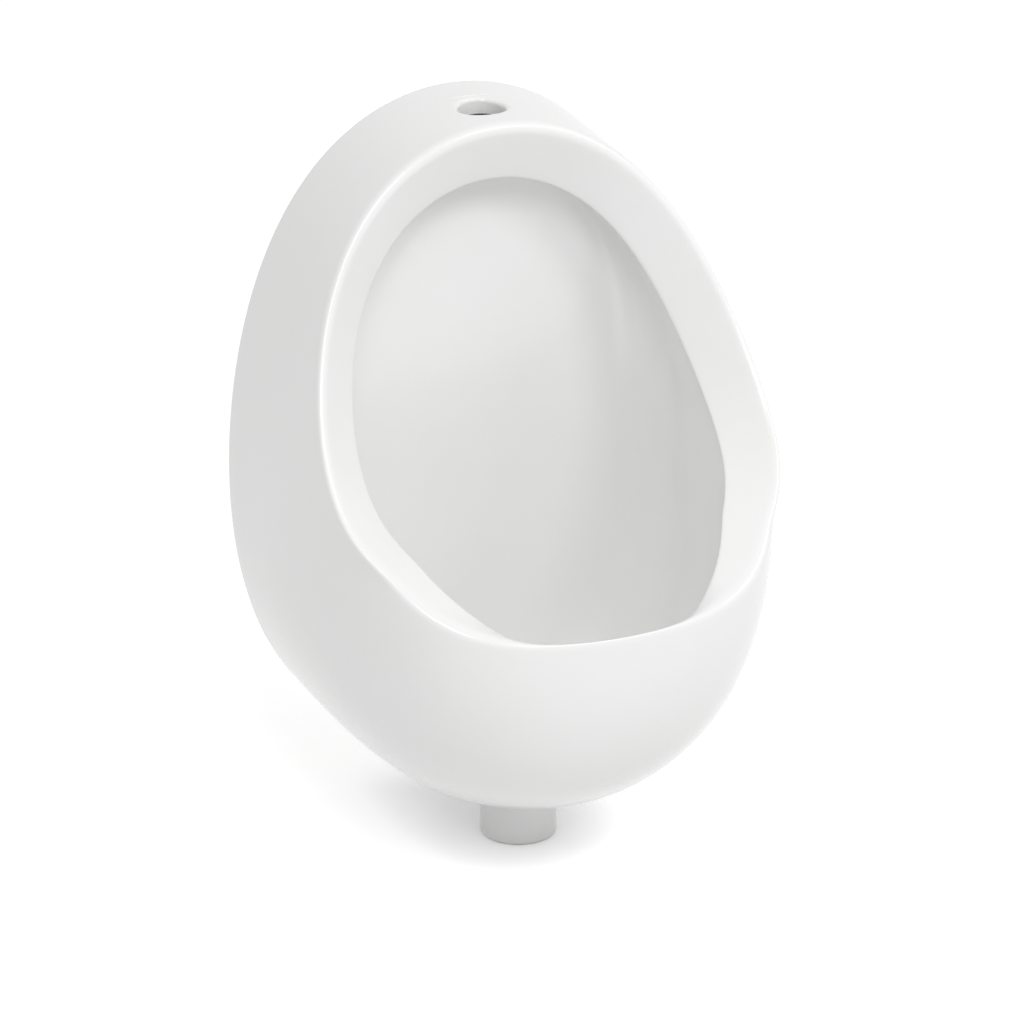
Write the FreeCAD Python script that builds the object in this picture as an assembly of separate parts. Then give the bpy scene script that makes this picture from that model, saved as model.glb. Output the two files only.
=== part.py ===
import FreeCAD, Part

# A small wall hung urinal in glazed vitreous china. One fired casting carries the bowl, the sloping
# collar with its rounded ridge, the flush channel inside the top of the rim and the outlet spigot.
# It hangs on two pressed steel hooks that expansion anchors hold to the wall, and a strainer lies in
# its outlet.
#
# Millimetres. X is to the right, -Y is towards the user, +Z is up. The wall is the plane y = 0.
# Heights are measured from the lowest point of the china at the wall, depths from the wall. At the
# end every piece is lowered, so that the origin is the centre of the four wall fixings.

import math
import os

os.makedirs("parts", exist_ok=True)
Vector = FreeCAD.Vector

# ---------------------------------------------------------------- driving dimensions: outline
body_height = 450.0          # china at the wall, without the spigot
body_width = 314.0
outline_taper = 5.1          # makes the top of the egg narrower than its foot
outline_square = 4.4         # fills or slims the shoulders of the egg
bulge_height = 214.0         # height that the front bulges about
belly_depth = 268.5          # how far the belly stands out from the wall
flank_depth = 510.0          # depth at which the upper flanks would close: the larger, the straighter
belly_ends = 203.0           # the belly's depth holds up to this height ...
flanks_begin = 317.0         # ... and the flanks' depth from this one
bulge_power = 3.41           # 2 is an ellipse, larger is squarer
top_slope = 0.034            # how far the top falls for each millimetre of depth
top_slope_begins = 270.0

# ---------------------------------------------------------------- rim: a hollow arc in side view
ridge_top_depth = 91.0
ridge_top_drop = 22.0        # below the top of the china at the wall
ridge_low_setback = 6.2      # behind the belly's greatest depth
ridge_low_height = 177.0
rim_hollow = 29.0            # how far the arc lies behind the straight line between those two
ridge_round = 9.0            # length of the rounding each side of the ridge

# ---------------------------------------------------------------- bowl: at its foot, sides and top
rim_thickness = (14.0, 26.5, 37.0)
collar_fall = (23.0, 19.0, 18.5)
undercut = (0.0, 9.0, 6.0)
undercut_height = 6.0
lip_round = (14.0, 4.0, 4.0)
bowl_back_corner = (60.0, 36.0, 6.0)
sides_begin = 128.0
sides_end = 240.0
front_wall = 12.0
bowl_back = 34.0             # depth of the bowl's flat back
back_wall = 10.0

# ---------------------------------------------------------------- hollow back, flush channel, inlet
flange_width = 13.0
recess_floor_slant = 5.0     # the slanting strip between the open back's wall and its floor
channel_wall = 9.0
channel_front_wall = 11.0    # measured along the depth, behind the collar's slope
channel_back = 10.0          # depth at which the channel begins
channel_half_turn = 38.0     # degrees each side of the top
channel_strips = 8
inlet_depth = 48.5
inlet_bore = 30.0
inlet_flare = 3.0
inlet_length = 17.0          # length of the bore, roof and inner boss together
inlet_boss_wall = 6.0
flush_hole = 5.0
flush_hole_pitch = 24.0
flush_holes_each_side = 3
cut_overshoot = 2.0          # how far a cutting tool reaches past the surface that it opens

# ---------------------------------------------------------------- inlet seal
seal_length = 7.0
seal_bore = 21.0
seal_clearance = 0.1

# ---------------------------------------------------------------- outlet and strainer
outlet_depth = 110.5
spigot_diameter = 50.0
spigot_bottom = -29.0
spigot_edge = 2.5
spigot_wall = 6.0
spigot_root_height = 0.0     # the spigot widens from here up into the belly
spigot_root_slant = 0.5      # millimetres wider for each millimetre of height
outlet_bore = spigot_diameter - 2 * spigot_wall
gasket_ledge = 9.0           # width of the ledge round the bore
well_margin = 3.0            # room round the strainer's flange
strainer_flange = outlet_bore + 2 * gasket_ledge
well_diameter = strainer_flange + 2 * well_margin
well_depth = 7.0             # below the bowl's floor, at the outlet's centre
well_edge = 3.0
gasket_thickness = 2.0
gasket_setback = 1.0         # the gasket's hole is wider than the bore by this all round
strainer_sheet = 1.5
dome_rise = 11.0
dome_foot = 6.0              # width of the flange outside the dome
dome_rings = (0.75, 0.45, 0.15)   # where the dome's slant changes, as shares of its radius
strainer_skirt = 14.0
skirt_clearance = 0.7
strainer_slots = 12
slot_width = 3.0
slot_from = 6.0
slot_to = 15.5

# ---------------------------------------------------------------- hangers and wall fixings
hanger_side_gap = 12.0       # least room beside the plates, inside the china's flange
hanger_top_gap = 12.0        # room above the plates
hanger_pitch_step = 5.0      # the hangers' centres are a whole number of these apart
hanger_width = 32.0
hanger_sheet = 3.0
hanger_plate_height = 97.0
hanger_corner = 5.0
hook_reach = 18.0
hook_lip_height = 16.0
bend_inside = 1.5
pad_thickness = 2.0
pad_margin = 1.0
pad_bend_gap = 0.3           # the pad stays off the bends beside it by this
hook_gap = 1.0               # china to steel, each side of the hook's lip and of the plate
hook_headroom = 3.5
lug_width = 40.0
lug_height = 12.5
anchor_low = 56.0            # above the shelf
anchor_pitch = 28.0
anchor_diameter = 8.0
thread_diameter = 7.2        # the plain cylinder midway between the thread's crests and its roots
anchor_shank = 36.0          # full diameter, from the wall's face
anchor_waist = 6.0           # diameter of the neck that the clip lies round
waist_length = 8.0
cone_length = 6.0
cone_diameter = 7.6
cone_tip = 1.5
thread_end = 2.0             # thread beyond the nut
thread_chamfer = 0.8
clip_clearance = 0.05
clip_end_gap = 0.5
clip_diameter = 7.6
plate_hole = 9.0
washer_diameter = 16.0
washer_hole = 8.4
washer_thickness = 1.6
nut_width = 13.0             # across flats
nut_height = 6.5
nut_clearance = 0.05

# ---------------------------------------------------------------- fineness of the skin
ring_points = 32
flank_strips = 8             # flank, ridge, lip, bowl and corner are each so many ruled strips
ridge_strips = 5
lip_strips = 3
bowl_strips = 6
corner_strips = 4
fine = 60                    # points that a curve in a slice is first drawn with
TURN = 2 * math.pi


# ================================================================ the skin's formulas
def step(value, low, high):
    """0 below low, 1 above high, and a smooth S between them."""
    t = min(1.0, max(0.0, (value - low) / (high - low)))
    return t * t * (3 - 2 * t)


def graded(height, sizes):
    """A size that is given at the bowl's foot, sides and top, at the height of a wall point."""
    foot, side, top = sizes
    return (foot + (side - foot) * step(height, 0, sides_begin)
            + (top - side) * step(height, sides_end, body_height))


def raw_half_width(angle):
    return (body_width / 2 * math.sin(angle) - outline_taper * math.sin(2 * angle)
            + outline_square * math.sin(3 * angle))


widest = max(raw_half_width(math.radians(degree)) for degree in range(181))


def wall_point(angle):
    """(x, height) of the egg outline on the wall; angle 0 is its top and pi its foot."""
    return (raw_half_width(angle) * body_width / 2 / widest, body_height / 2 * (1 + math.cos(angle)))


class Meridian:
    """One slice through the skin, from the bulge's centre line out to one point of the outline.

    A point in the slice is (reach, depth): its distance from the centre line and from the wall.
    """

    def __init__(self, angle):
        self.x, self.height = wall_point(angle)
        self.reach = math.hypot(self.x, self.height - bulge_height)
        self.close = belly_depth + (flank_depth - belly_depth) * step(self.height, belly_ends, flanks_begin)
        self.slope = top_slope * min(1.0, max(0.0, (self.height - top_slope_begins)
                                              / (body_height - top_slope_begins)))
        self.ridge = self.find_ridge()

    def place(self, reach, depth):
        """The point in space."""
        share = reach / self.reach
        rise = bulge_height + share * (self.height - bulge_height) - self.slope * depth
        return Vector(share * self.x, -depth, rise)

    def outside(self, depth):
        return self.reach * (1 - (depth / self.close) ** bulge_power) ** (1 / bulge_power)

    def inside(self, depth):
        """The bowl's wall, behind the lip."""
        full = self.reach - graded(self.height, rim_thickness)
        return full * (1 - (depth / (self.close - front_wall)) ** bulge_power) ** (1 / bulge_power)

    def find_ridge(self):
        """Where the outside meets the rim's arc, by halving."""
        near, far = 0.0, self.close - 0.01
        for _ in range(50):
            depth = (near + far) / 2
            if depth < rim_depth(self.place(self.outside(depth), depth).z):
                near = depth
            else:
                far = depth
        return (self.outside(near), near)

    def lip(self):
        depth = self.ridge[1] - graded(self.height, collar_fall)
        return (self.inside(depth) - graded(self.height, undercut), depth)

    def under_lip(self):
        depth = self.lip()[1] - undercut_height
        return (self.inside(depth), depth)

    def corner_radius(self):
        """The bowl's back corner, which can't be larger than the wall that it rounds."""
        return min(graded(self.height, bowl_back_corner), 0.6 * (self.under_lip()[1] - bowl_back))

    def corner_start(self):
        depth = bowl_back + self.corner_radius()
        return (self.inside(depth), depth)

    def bands(self):
        """The slice as runs of points, in order: flank, ridge, collar, lip, undercut, bowl, corner."""
        lip, under, corner = self.lip(), self.under_lip(), self.corner_start()
        edge = self.flank_end()
        collar_start = towards(self.ridge, lip, ridge_round, 0.45)
        rounding = graded(self.height, lip_round)
        collar_end = towards(lip, self.ridge, rounding, 0.4)
        lip_end = towards(lip, under, rounding, 0.45)
        radius = self.corner_radius()
        flank = [(self.outside(d), d) for d in between(0, edge, fine)]
        bowl = [(self.inside(d), d) for d in between(under[1], corner[1], fine)]
        turn = [(corner[0] - radius * (1 - math.cos(a)), corner[1] - radius * math.sin(a))
                for a in between(0, math.pi / 2, fine)]
        return [
            spread(flank, flank_strips),
            bend(flank[-1], self.ridge, collar_start, ridge_strips),
            [collar_start, collar_end],
            bend(collar_end, lip, lip_end, lip_strips),
            [lip_end, under],
            spread(bowl, bowl_strips),
            spread(turn, corner_strips),
        ]

    def flank_end(self):
        """Depth at which the flank gives way to the ridge's rounding."""
        near, far = 0.0, self.ridge[1]
        for _ in range(40):
            depth = (near + far) / 2
            if math.dist((self.outside(depth), depth), self.ridge) > ridge_round:
                near = depth
            else:
                far = depth
        return near


def rim_depth(height):
    """Depth of the rim's arc at a height: a circle through the ridge's ends, hollow side to the wall."""
    low_depth = belly_depth - ridge_low_setback
    top_height = body_height - ridge_top_drop
    run = low_depth - ridge_top_depth
    drop = top_height - ridge_low_height
    chord = math.hypot(run, drop)
    radius = chord ** 2 / (8 * rim_hollow) + rim_hollow / 2
    out = radius - rim_hollow
    centre_depth = (ridge_top_depth + low_depth) / 2 + out * drop / chord
    centre_height = (top_height + ridge_low_height) / 2 + out * run / chord
    return centre_depth - math.sqrt(max(0.0, radius ** 2 - (height - centre_height) ** 2))


def between(start, end, steps):
    return [start + (end - start) * i / steps for i in range(steps + 1)]


def towards(start, end, length, most):
    """The point at a length from start on the way to end, at most that share of the way."""
    whole = math.dist(start, end)
    share = min(length / whole, most)
    return (start[0] + (end[0] - start[0]) * share, start[1] + (end[1] - start[1]) * share)


def bend(start, corner, end, steps):
    """A rounded corner: a parabola that leaves along both straight sides."""
    points = []
    for t in between(0, 1, steps):
        a, b, c = (1 - t) ** 2, 2 * t * (1 - t), t * t
        points.append((a * start[0] + b * corner[0] + c * end[0], a * start[1] + b * corner[1] + c * end[1]))
    return points


def spread(points, steps):
    """The same run with its points evenly spaced along it."""
    along = [0.0]
    for a, b in zip(points, points[1:]):
        along.append(along[-1] + math.dist(a, b))
    spaced = []
    for target in between(0, along[-1], steps):
        i = min(len(points) - 2, max(0, sum(1 for value in along if value < target) - 1))
        share = (target - along[i]) / (along[i + 1] - along[i])
        spaced.append((points[i][0] + (points[i + 1][0] - points[i][0]) * share,
                       points[i][1] + (points[i + 1][1] - points[i][1]) * share))
    return spaced


meridians = [Meridian(TURN * i / ring_points) for i in range(ring_points)]


def ring(points):
    """A smooth closed wire through one point on each meridian."""
    curve = Part.BSplineCurve()
    curve.interpolate(Points=points, PeriodicFlag=True, Parameters=between(0, 1, ring_points))
    return Part.Wire([curve.toShape()])


# ================================================================ helpers for plain solids
def cylinder(diameter, length, base, axis):
    return Part.makeCylinder(diameter / 2, length, base, axis)


def tube(outer, inner, length, base, axis):
    return cylinder(outer, length, base, axis).cut(cylinder(inner, length, base, axis))


def box(low, high):
    size = high - low
    return Part.makeBox(size.x, size.y, size.z, low)


def turned(outline, base):
    """A solid turned about an upright line through the base from an outline of (radius, height)."""
    wire = Part.makePolygon([Vector(radius, 0, height) for radius, height in outline + outline[:1]])
    solid = Part.Face(wire).revolve(Vector(0, 0, 0), UP, 360)
    solid.translate(base)
    return solid


UP = Vector(0, 0, 1)
INTO_WALL = Vector(0, 1, 0)


# ================================================================ where the hangers go
def recess_top():
    """Height that leaves a wall between the open back and the ends of the flush channel."""
    m = Meridian(math.radians(channel_half_turn))
    return m.place(m.under_lip()[0] + channel_wall, channel_back).z - channel_wall


def recess_half_width(height):
    """Half the open back's width, inside the flange, at a height above the bulge."""
    near, far = 0.0, math.pi / 2
    for _ in range(50):
        angle = (near + far) / 2
        m = Meridian(angle)
        if m.place(m.reach - flange_width, 0).z > height:
            near = angle
        else:
            far = angle
    return m.place(m.reach - flange_width, 0).x


hanger_top = recess_top() - hanger_top_gap
hanger_shelf_height = hanger_top - hanger_plate_height
hanger_room = 2 * (recess_half_width(hanger_top) - hanger_side_gap) - hanger_width
hanger_spacing = hanger_pitch_step * math.floor(hanger_room / hanger_pitch_step)


# ================================================================ the china
def china_block():
    """The casting before it is hollowed: its skin, closed by the wall plane and the bowl's flat back."""
    runs = [m.bands() for m in meridians]
    faces = []
    previous = None
    for band in range(len(runs[0])):
        wires = []
        for i in range(len(runs[0][band])):
            if i == 0 and previous is not None:
                wires.append(previous)
                continue
            wires.append(ring([m.place(*run[band][i]) for m, run in zip(meridians, runs)]))
        if band == 0:
            faces.append(Part.Face(wires[0]))
        faces += Part.makeLoft(wires, False, True, False).Faces
        previous = wires[-1]
    faces.append(Part.Face(previous))
    skin = Part.makeShell(faces)
    skin.sewShape()
    return Part.makeSolid(skin)


def rear_recess():
    """The open back: the outline inside the flange, below the flush channel."""
    depth = bowl_back - back_wall
    steps = [(0, 0), (0, depth - recess_floor_slant), (recess_floor_slant, depth)]
    rings = [ring([flat(m, flange_width + inward, down) for m in meridians]) for inward, down in steps]
    hollow = Part.makeLoft(rings, True, True, False)
    limit = box(Vector(-body_width, -2 * depth, -body_height), Vector(body_width, 1, recess_top()))
    return hollow.common(limit)


def flat(m, inward, depth):
    """The outline's point, drawn inward along its slice, at a depth and without the top's slope."""
    point = m.place(m.reach - inward, 0)
    return Vector(point.x, -depth, point.z)


def channel_section(m):
    """The flush channel's four corners in one slice, a wall's thickness inside the china."""
    lip, under = m.lip(), m.under_lip()
    low = under[0] + channel_wall
    high = m.outside(m.ridge[1]) - channel_wall
    fall = (m.ridge[1] - lip[1]) / (m.ridge[0] - lip[0])
    front = [lip[1] + (reach - lip[0]) * fall - channel_front_wall for reach in (low, high)]
    corners = [(low, channel_back), (high, channel_back), (high, front[1]), (low, front[0])]
    return Part.makePolygon([m.place(*corner) for corner in corners + corners[:1]])


def flush_channel():
    """The hollow inside the top of the rim, which feeds the flush holes."""
    turns = between(-channel_half_turn, channel_half_turn, channel_strips)
    return Part.makeLoft([channel_section(Meridian(math.radians(turn))) for turn in turns], True, True, False)


def flush_holes():
    """Holes from the channel's floor down to the bowl's back, just behind the lip."""
    holes = []
    for number in range(flush_holes_each_side):
        for side in (-1, 1):
            x = side * (number + 0.5) * flush_hole_pitch
            m = Meridian(angle_at(x))
            under = m.under_lip()
            start = m.place(under[0] + channel_wall + cut_overshoot, under[1])
            end = m.place(under[0] - cut_overshoot, under[1])
            holes.append(cylinder(flush_hole, (end - start).Length, start, end - start))
    return holes


def angle_at(x):
    """The outline's angle, near its top, at which the flush channel lies over x."""
    share = (wall_height_at_top() - rim_thickness[2]) / wall_height_at_top()
    near, far = -math.pi / 2, math.pi / 2
    for _ in range(50):
        middle = (near + far) / 2
        if share * wall_point(middle)[0] < x:
            near = middle
        else:
            far = middle
    return near


def wall_height_at_top():
    return body_height - bulge_height


def inlet_top():
    """Height of the top of the china over the inlet."""
    m = meridians[0]
    return m.place(m.outside(inlet_depth), inlet_depth).z


def inlet_cut():
    """The inlet's bore with its flared mouth."""
    radius = inlet_bore / 2
    base = Vector(0, -inlet_depth, inlet_top())
    bore = cylinder(inlet_bore, inlet_length, base - UP * inlet_length, UP)
    mouth = Part.makeCone(radius, radius + 2 * inlet_flare, 2 * inlet_flare, base - UP * inlet_flare)
    return bore.fuse(mouth)


def inlet_boss():
    """The sleeve inside the channel that lengthens the inlet's bore."""
    length = inlet_length - channel_wall / 2
    base = Vector(0, -inlet_depth, inlet_top() - inlet_length)
    return cylinder(inlet_bore + 2 * inlet_boss_wall, length, base, UP)


def spigot():
    """The outlet's stub with its lower edge eased, and the root that widens from it into the belly."""
    radius = spigot_diameter / 2
    rise = well_floor() - spigot_edge - spigot_root_height
    return turned([
        (0, spigot_bottom), (radius - spigot_edge, spigot_bottom), (radius, spigot_bottom + spigot_edge),
        (radius, spigot_root_height), (radius + spigot_root_slant * rise, spigot_root_height + rise),
        (0, spigot_root_height + rise),
    ], Vector(0, -outlet_depth, 0))


def well_floor():
    """Height of the ledge that the strainer's gasket lies on."""
    m = Meridian(math.pi)
    return m.place(m.inside(outlet_depth), outlet_depth).z - well_depth


def outlet_cut():
    """The bore, and the flat-bottomed well that the strainer lies in."""
    base = Vector(0, -outlet_depth, well_floor())
    depth = well_floor() - spigot_bottom + cut_overshoot
    bore = cylinder(outlet_bore, depth + cut_overshoot, base - UP * depth, UP)
    radius = well_diameter / 2
    well = cylinder(well_diameter, 2 * radius, base, UP)
    flare = Part.makeCone(radius, radius + 2 * well_edge, 2 * well_edge, base + UP * well_edge)
    return bore.fuse([well, flare])


def lug(side):
    """A ledge in the hollow back, with a rib that drops behind the hook's lip."""
    centre = side * hanger_spacing / 2
    half = lug_width / 2
    rib_front = hook_reach - hanger_sheet - hook_gap
    plate_gap = hanger_sheet + hook_gap
    rib_foot = hanger_shelf_height + hanger_sheet + pad_thickness
    lug_foot = hanger_shelf_height + hook_lip_height + hook_headroom
    ledge = box(Vector(centre - half, -(bowl_back - back_wall) - cut_overshoot, lug_foot),
                Vector(centre + half, -plate_gap, lug_foot + lug_height))
    rib = box(Vector(centre - half, -rib_front, rib_foot), Vector(centre + half, -plate_gap, lug_foot))
    return ledge.fuse(rib).removeSplitter()


def ceramic_body():
    body = china_block().cut(rear_recess())
    body = body.cut(flush_channel())
    body = body.fuse([spigot(), inlet_boss().common(flush_channel()), lug(-1), lug(1)])
    body = body.cut([inlet_cut(), outlet_cut()] + flush_holes())
    return body


# ================================================================ small pieces of the water way
def inlet_seal():
    """A rubber ring pushed into the bottom of the inlet's bore, where it grips the flush pipe."""
    base = Vector(0, -inlet_depth, inlet_top() - inlet_length)
    return tube(inlet_bore - 2 * seal_clearance, seal_bore, seal_length, base, UP)


def strainer_gasket():
    base = Vector(0, -outlet_depth, well_floor())
    return tube(strainer_flange, outlet_bore + 2 * gasket_setback, gasket_thickness, base, UP)


def strainer_dome():
    """A pressed steel dome with a flat flange, radial slots and a skirt that centres it in the bore."""
    base = well_floor() + gasket_thickness
    top = base + strainer_sheet
    skirt = outlet_bore / 2 - skirt_clearance
    outer, inner = dome_line(top, 0), dome_line(top, strainer_sheet)
    dome = turned([
        (skirt - strainer_sheet, base - strainer_skirt), (skirt, base - strainer_skirt), (skirt, base),
        (strainer_flange / 2, base), (strainer_flange / 2, top), *outer, *reversed(inner),
        (skirt - strainer_sheet, top),
    ], Vector(0, -outlet_depth, 0))
    slots = []
    for number in range(strainer_slots):
        slot = box(Vector(slot_from, -slot_width / 2, top),
                   Vector(slot_to, slot_width / 2, top + 2 * dome_rise))
        slot.rotate(Vector(0, 0, 0), UP, 360 * number / strainer_slots)
        slot.translate(Vector(0, -outlet_depth, 0))
        slots.append(slot)
    return dome.cut(slots)


def dome_line(foot, inward):
    """Points of the dome's outer or inner side, from its foot to its middle."""
    half = strainer_flange / 2 - dome_foot
    radius = (half ** 2 + dome_rise ** 2) / (2 * dome_rise)
    sunk = radius - dome_rise
    reaches = [math.sqrt((radius - inward) ** 2 - sunk ** 2)] + [half * share for share in dome_rings]
    line = [(reach, foot + math.sqrt((radius - inward) ** 2 - reach ** 2) - sunk) for reach in reaches]
    return line + [(0, line[-1][1])]


# ================================================================ wall fixings
def hanger(side):
    """A pressed hook: a plate against the wall, a shelf at its foot and an upturned lip."""
    sheet, foot = hanger_sheet, hanger_shelf_height
    outer = bend_inside + sheet
    top = foot + hanger_plate_height
    lip_top = foot + hook_lip_height
    outline = [(0, foot), (hook_reach, foot), (hook_reach, lip_top), (hook_reach - sheet, lip_top),
               (hook_reach - sheet, foot + sheet), (sheet, foot + sheet), (sheet, top), (0, top)]
    profile = Part.makePolygon([Vector(0, -depth, height) for depth, height in outline + outline[:1]])
    plate = Part.Face(profile).extrude(Vector(hanger_width, 0, 0))
    plate.translate(Vector(side * hanger_spacing / 2 - hanger_width / 2, 0, 0))
    along_x = [e for e in plate.Edges if abs(e.BoundBox.XLength - hanger_width) < 0.01]

    def at(depth, height):
        return [e for e in along_x
                if abs(e.CenterOfMass.y + depth) < 0.01 and abs(e.CenterOfMass.z - height) < 0.01]

    plate = plate.makeFillet(outer, at(0, foot) + at(hook_reach, foot))
    along_x = [e for e in plate.Edges if abs(e.BoundBox.XLength - hanger_width) < 0.01]
    plate = plate.makeFillet(bend_inside, at(sheet, foot + sheet) + at(hook_reach - sheet, foot + sheet))
    corners = [e for e in plate.Edges if e.BoundBox.YLength > sheet - 0.01 and e.BoundBox.ZLength < 0.01
               and e.BoundBox.XLength < 0.01 and abs(e.CenterOfMass.z - top) < 0.01]
    plate = plate.makeFillet(hanger_corner, corners)
    length = sheet + 2 * cut_overshoot
    holes = [cylinder(plate_hole, length, Vector(x, -sheet - cut_overshoot, z), INTO_WALL)
             for x, z in anchor_places() if x * side > 0]
    return plate.cut(holes)


def hanger_pad(side):
    """A strip of rubber on the hook's shelf, under the china's rib."""
    inner = hanger_sheet + pad_bend_gap
    outer = hook_reach - hanger_sheet - pad_bend_gap
    foot = hanger_shelf_height + hanger_sheet
    centre = side * hanger_spacing / 2
    half = hanger_width / 2 - pad_margin
    pad = box(Vector(centre - half, -outer, foot), Vector(centre + half, -inner, foot + pad_thickness))
    lower = [e for e in pad.Edges
             if abs(e.BoundBox.XLength - 2 * half) < 0.01 and e.CenterOfMass.z < foot + 0.01]
    return pad.makeChamfer(bend_inside, lower)


def anchor_places():
    """(x, height) of the four wall anchors: left low, left high, right low, right high."""
    low = hanger_shelf_height + anchor_low
    return [(side * hanger_spacing / 2, height) for side in (-1, 1) for height in (low, low + anchor_pitch)]


def across_wall(solid, x, z):
    """A solid turned about the upright axis, laid along the wall's inward direction at a place."""
    solid.rotate(Vector(0, 0, 0), Vector(1, 0, 0), -90)
    solid.translate(Vector(x, 0, z))
    return solid


def wall_anchor(x, z):
    """A through-bolt: threaded end, shank that fills the drilled hole, waist for the clip, and cone."""
    start = -hanger_sheet - washer_thickness - nut_height - thread_end
    thread, shank = thread_diameter / 2, anchor_diameter / 2
    waist, cone = anchor_waist / 2, cone_diameter / 2
    cone_start = anchor_shank + waist_length
    cone_end = cone_start + cone_length
    return across_wall(turned([
        (0, start), (thread - thread_chamfer, start), (thread, start + thread_chamfer), (thread, 0),
        (shank, 0), (shank, anchor_shank), (waist, anchor_shank), (waist, cone_start), (cone, cone_end),
        (waist, cone_end + cone_tip), (0, cone_end + cone_tip),
    ], Vector(0, 0, 0)), x, z)


def anchor_clip(x, z):
    """The steel clip round the anchor's waist, which the cone spreads in the wall."""
    start = anchor_shank + clip_end_gap
    length = waist_length - 2 * clip_end_gap
    return tube(clip_diameter, anchor_waist + 2 * clip_clearance, length, Vector(x, start, z), INTO_WALL)


def anchor_washer(x, z):
    base = Vector(x, -hanger_sheet - washer_thickness, z)
    return tube(washer_diameter, washer_hole, washer_thickness, base, INTO_WALL)


def anchor_nut(x, z):
    """A hexagon nut, tightened on the washer."""
    base = Vector(x, -hanger_sheet - washer_thickness - nut_height, z)
    corner = nut_width / math.sqrt(3)
    corners = [base + Vector(corner * math.cos(a), 0, corner * math.sin(a)) for a in between(0, TURN, 6)]
    block = Part.Face(Part.makePolygon(corners)).extrude(INTO_WALL * nut_height)
    return block.cut(cylinder(thread_diameter + 2 * nut_clearance, nut_height, base, INTO_WALL))


# ================================================================ write the pieces
fixing_height = hanger_shelf_height + anchor_low + anchor_pitch / 2
print(f"wall fixings {hanger_spacing:.1f} by {anchor_pitch:.1f}, at height {fixing_height:.3f}")
print(f"flush inlet at depth {inlet_depth:.1f}, from {inlet_top() - inlet_length:.3f} to {inlet_top():.3f}")
print(f"outlet at depth {outlet_depth:.1f}, strainer ledge {well_floor():.3f}")
print(f"spigot's wall {spigot_bottom + spigot_edge:.3f} to {spigot_root_height:.3f}, end {spigot_bottom:.3f}")
print(f"open back's top {recess_top():.3f}, hook's shelf {hanger_shelf_height:.3f}")


def write(name, shape):
    shape = shape.copy()
    shape.translate(Vector(0, 0, -fixing_height))
    if shape.ShapeType != "Solid" and len(shape.Solids) == 1:
        shape = shape.Solids[0]
    print(f"{name}: {len(shape.Solids)} solid, valid {shape.isValid()}, {shape.Volume / 1000:.1f} cm3")
    shape.exportStep(f"parts/{name}.step")


write("ceramic_body", ceramic_body())
write("inlet_seal", inlet_seal())
write("strainer_gasket", strainer_gasket())
write("strainer_dome", strainer_dome())
for side, label in ((-1, "left"), (1, "right")):
    write(f"hanger_{label}", hanger(side))
    write(f"hanger_pad_{label}", hanger_pad(side))
for number, (x, z) in enumerate(anchor_places(), 1):
    write(f"wall_anchor_{number}", wall_anchor(x, z))
    write(f"anchor_clip_{number}", anchor_clip(x, z))
    write(f"anchor_washer_{number}", anchor_washer(x, z))
    write(f"anchor_nut_{number}", anchor_nut(x, z))
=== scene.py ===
# %% [markdown]
# # A small wall hung urinal in glazed vitreous china
# A potter casts this urinal in one piece: a hollow rim, a deep bowl, round flanks and an outlet spigot.
# It hangs on two pressed steel hooks that wall anchors hold, and a lift-out strainer lies in its outlet.
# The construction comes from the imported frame, at its real size. Here each piece gets its finished
# surface. The china is built again from the rules that shaped it, finely enough for a smooth gloss.

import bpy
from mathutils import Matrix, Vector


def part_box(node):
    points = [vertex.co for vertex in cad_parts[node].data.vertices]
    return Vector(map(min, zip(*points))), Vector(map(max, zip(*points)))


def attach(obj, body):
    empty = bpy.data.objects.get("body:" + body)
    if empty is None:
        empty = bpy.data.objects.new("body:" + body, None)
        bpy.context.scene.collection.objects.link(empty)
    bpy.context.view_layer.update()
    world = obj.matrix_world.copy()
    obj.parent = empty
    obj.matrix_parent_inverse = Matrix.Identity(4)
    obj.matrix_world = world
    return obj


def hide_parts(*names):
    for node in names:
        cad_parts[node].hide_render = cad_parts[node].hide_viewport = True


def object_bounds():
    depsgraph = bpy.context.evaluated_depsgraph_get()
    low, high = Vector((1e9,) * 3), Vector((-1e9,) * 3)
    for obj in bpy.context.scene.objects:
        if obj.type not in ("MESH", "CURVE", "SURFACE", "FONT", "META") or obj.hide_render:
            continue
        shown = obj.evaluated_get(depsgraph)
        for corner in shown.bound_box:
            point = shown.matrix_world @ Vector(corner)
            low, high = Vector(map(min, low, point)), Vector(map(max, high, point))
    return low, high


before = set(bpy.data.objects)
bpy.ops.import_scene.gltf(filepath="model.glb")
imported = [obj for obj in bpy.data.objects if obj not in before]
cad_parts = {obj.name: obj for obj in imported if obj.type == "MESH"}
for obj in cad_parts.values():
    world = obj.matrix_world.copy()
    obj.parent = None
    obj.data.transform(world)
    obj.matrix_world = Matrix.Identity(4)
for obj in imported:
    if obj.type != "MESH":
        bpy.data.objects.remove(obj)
cad_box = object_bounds()
print("frame box in metres:", [[round(v, 4) for v in corner] for corner in cad_box])

# %% [markdown]
# ## Camera
# The object was photographed from its left, a little above, with a long lens, so its upright lines stay
# nearly parallel. The camera looks at a point beside the object, which puts it where the picture has it.

# %% Camera
import math

import bmesh
import bpy
from mathutils import Matrix, Vector
from mathutils.bvhtree import BVHTree

scene = bpy.context.scene
SPIGOT_BELOW_CHINA = 0.029    # metres from the china's lowest point at the wall to the spigot's end
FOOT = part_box("ceramic_body")[0][2] + SPIGOT_BELOW_CHINA

VIEW_AZIMUTH = math.radians(-22)
VIEW_PITCH = math.radians(22)
VIEW_DISTANCE = 3.679
VIEW_TARGET = Vector((0.0546, 0.0354, FOOT + 0.1319))
VIEW_LENS_MM = 193.3
VIEW_SENSOR_MM = 36.0
VIEW_CLIP = 100.0

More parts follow.
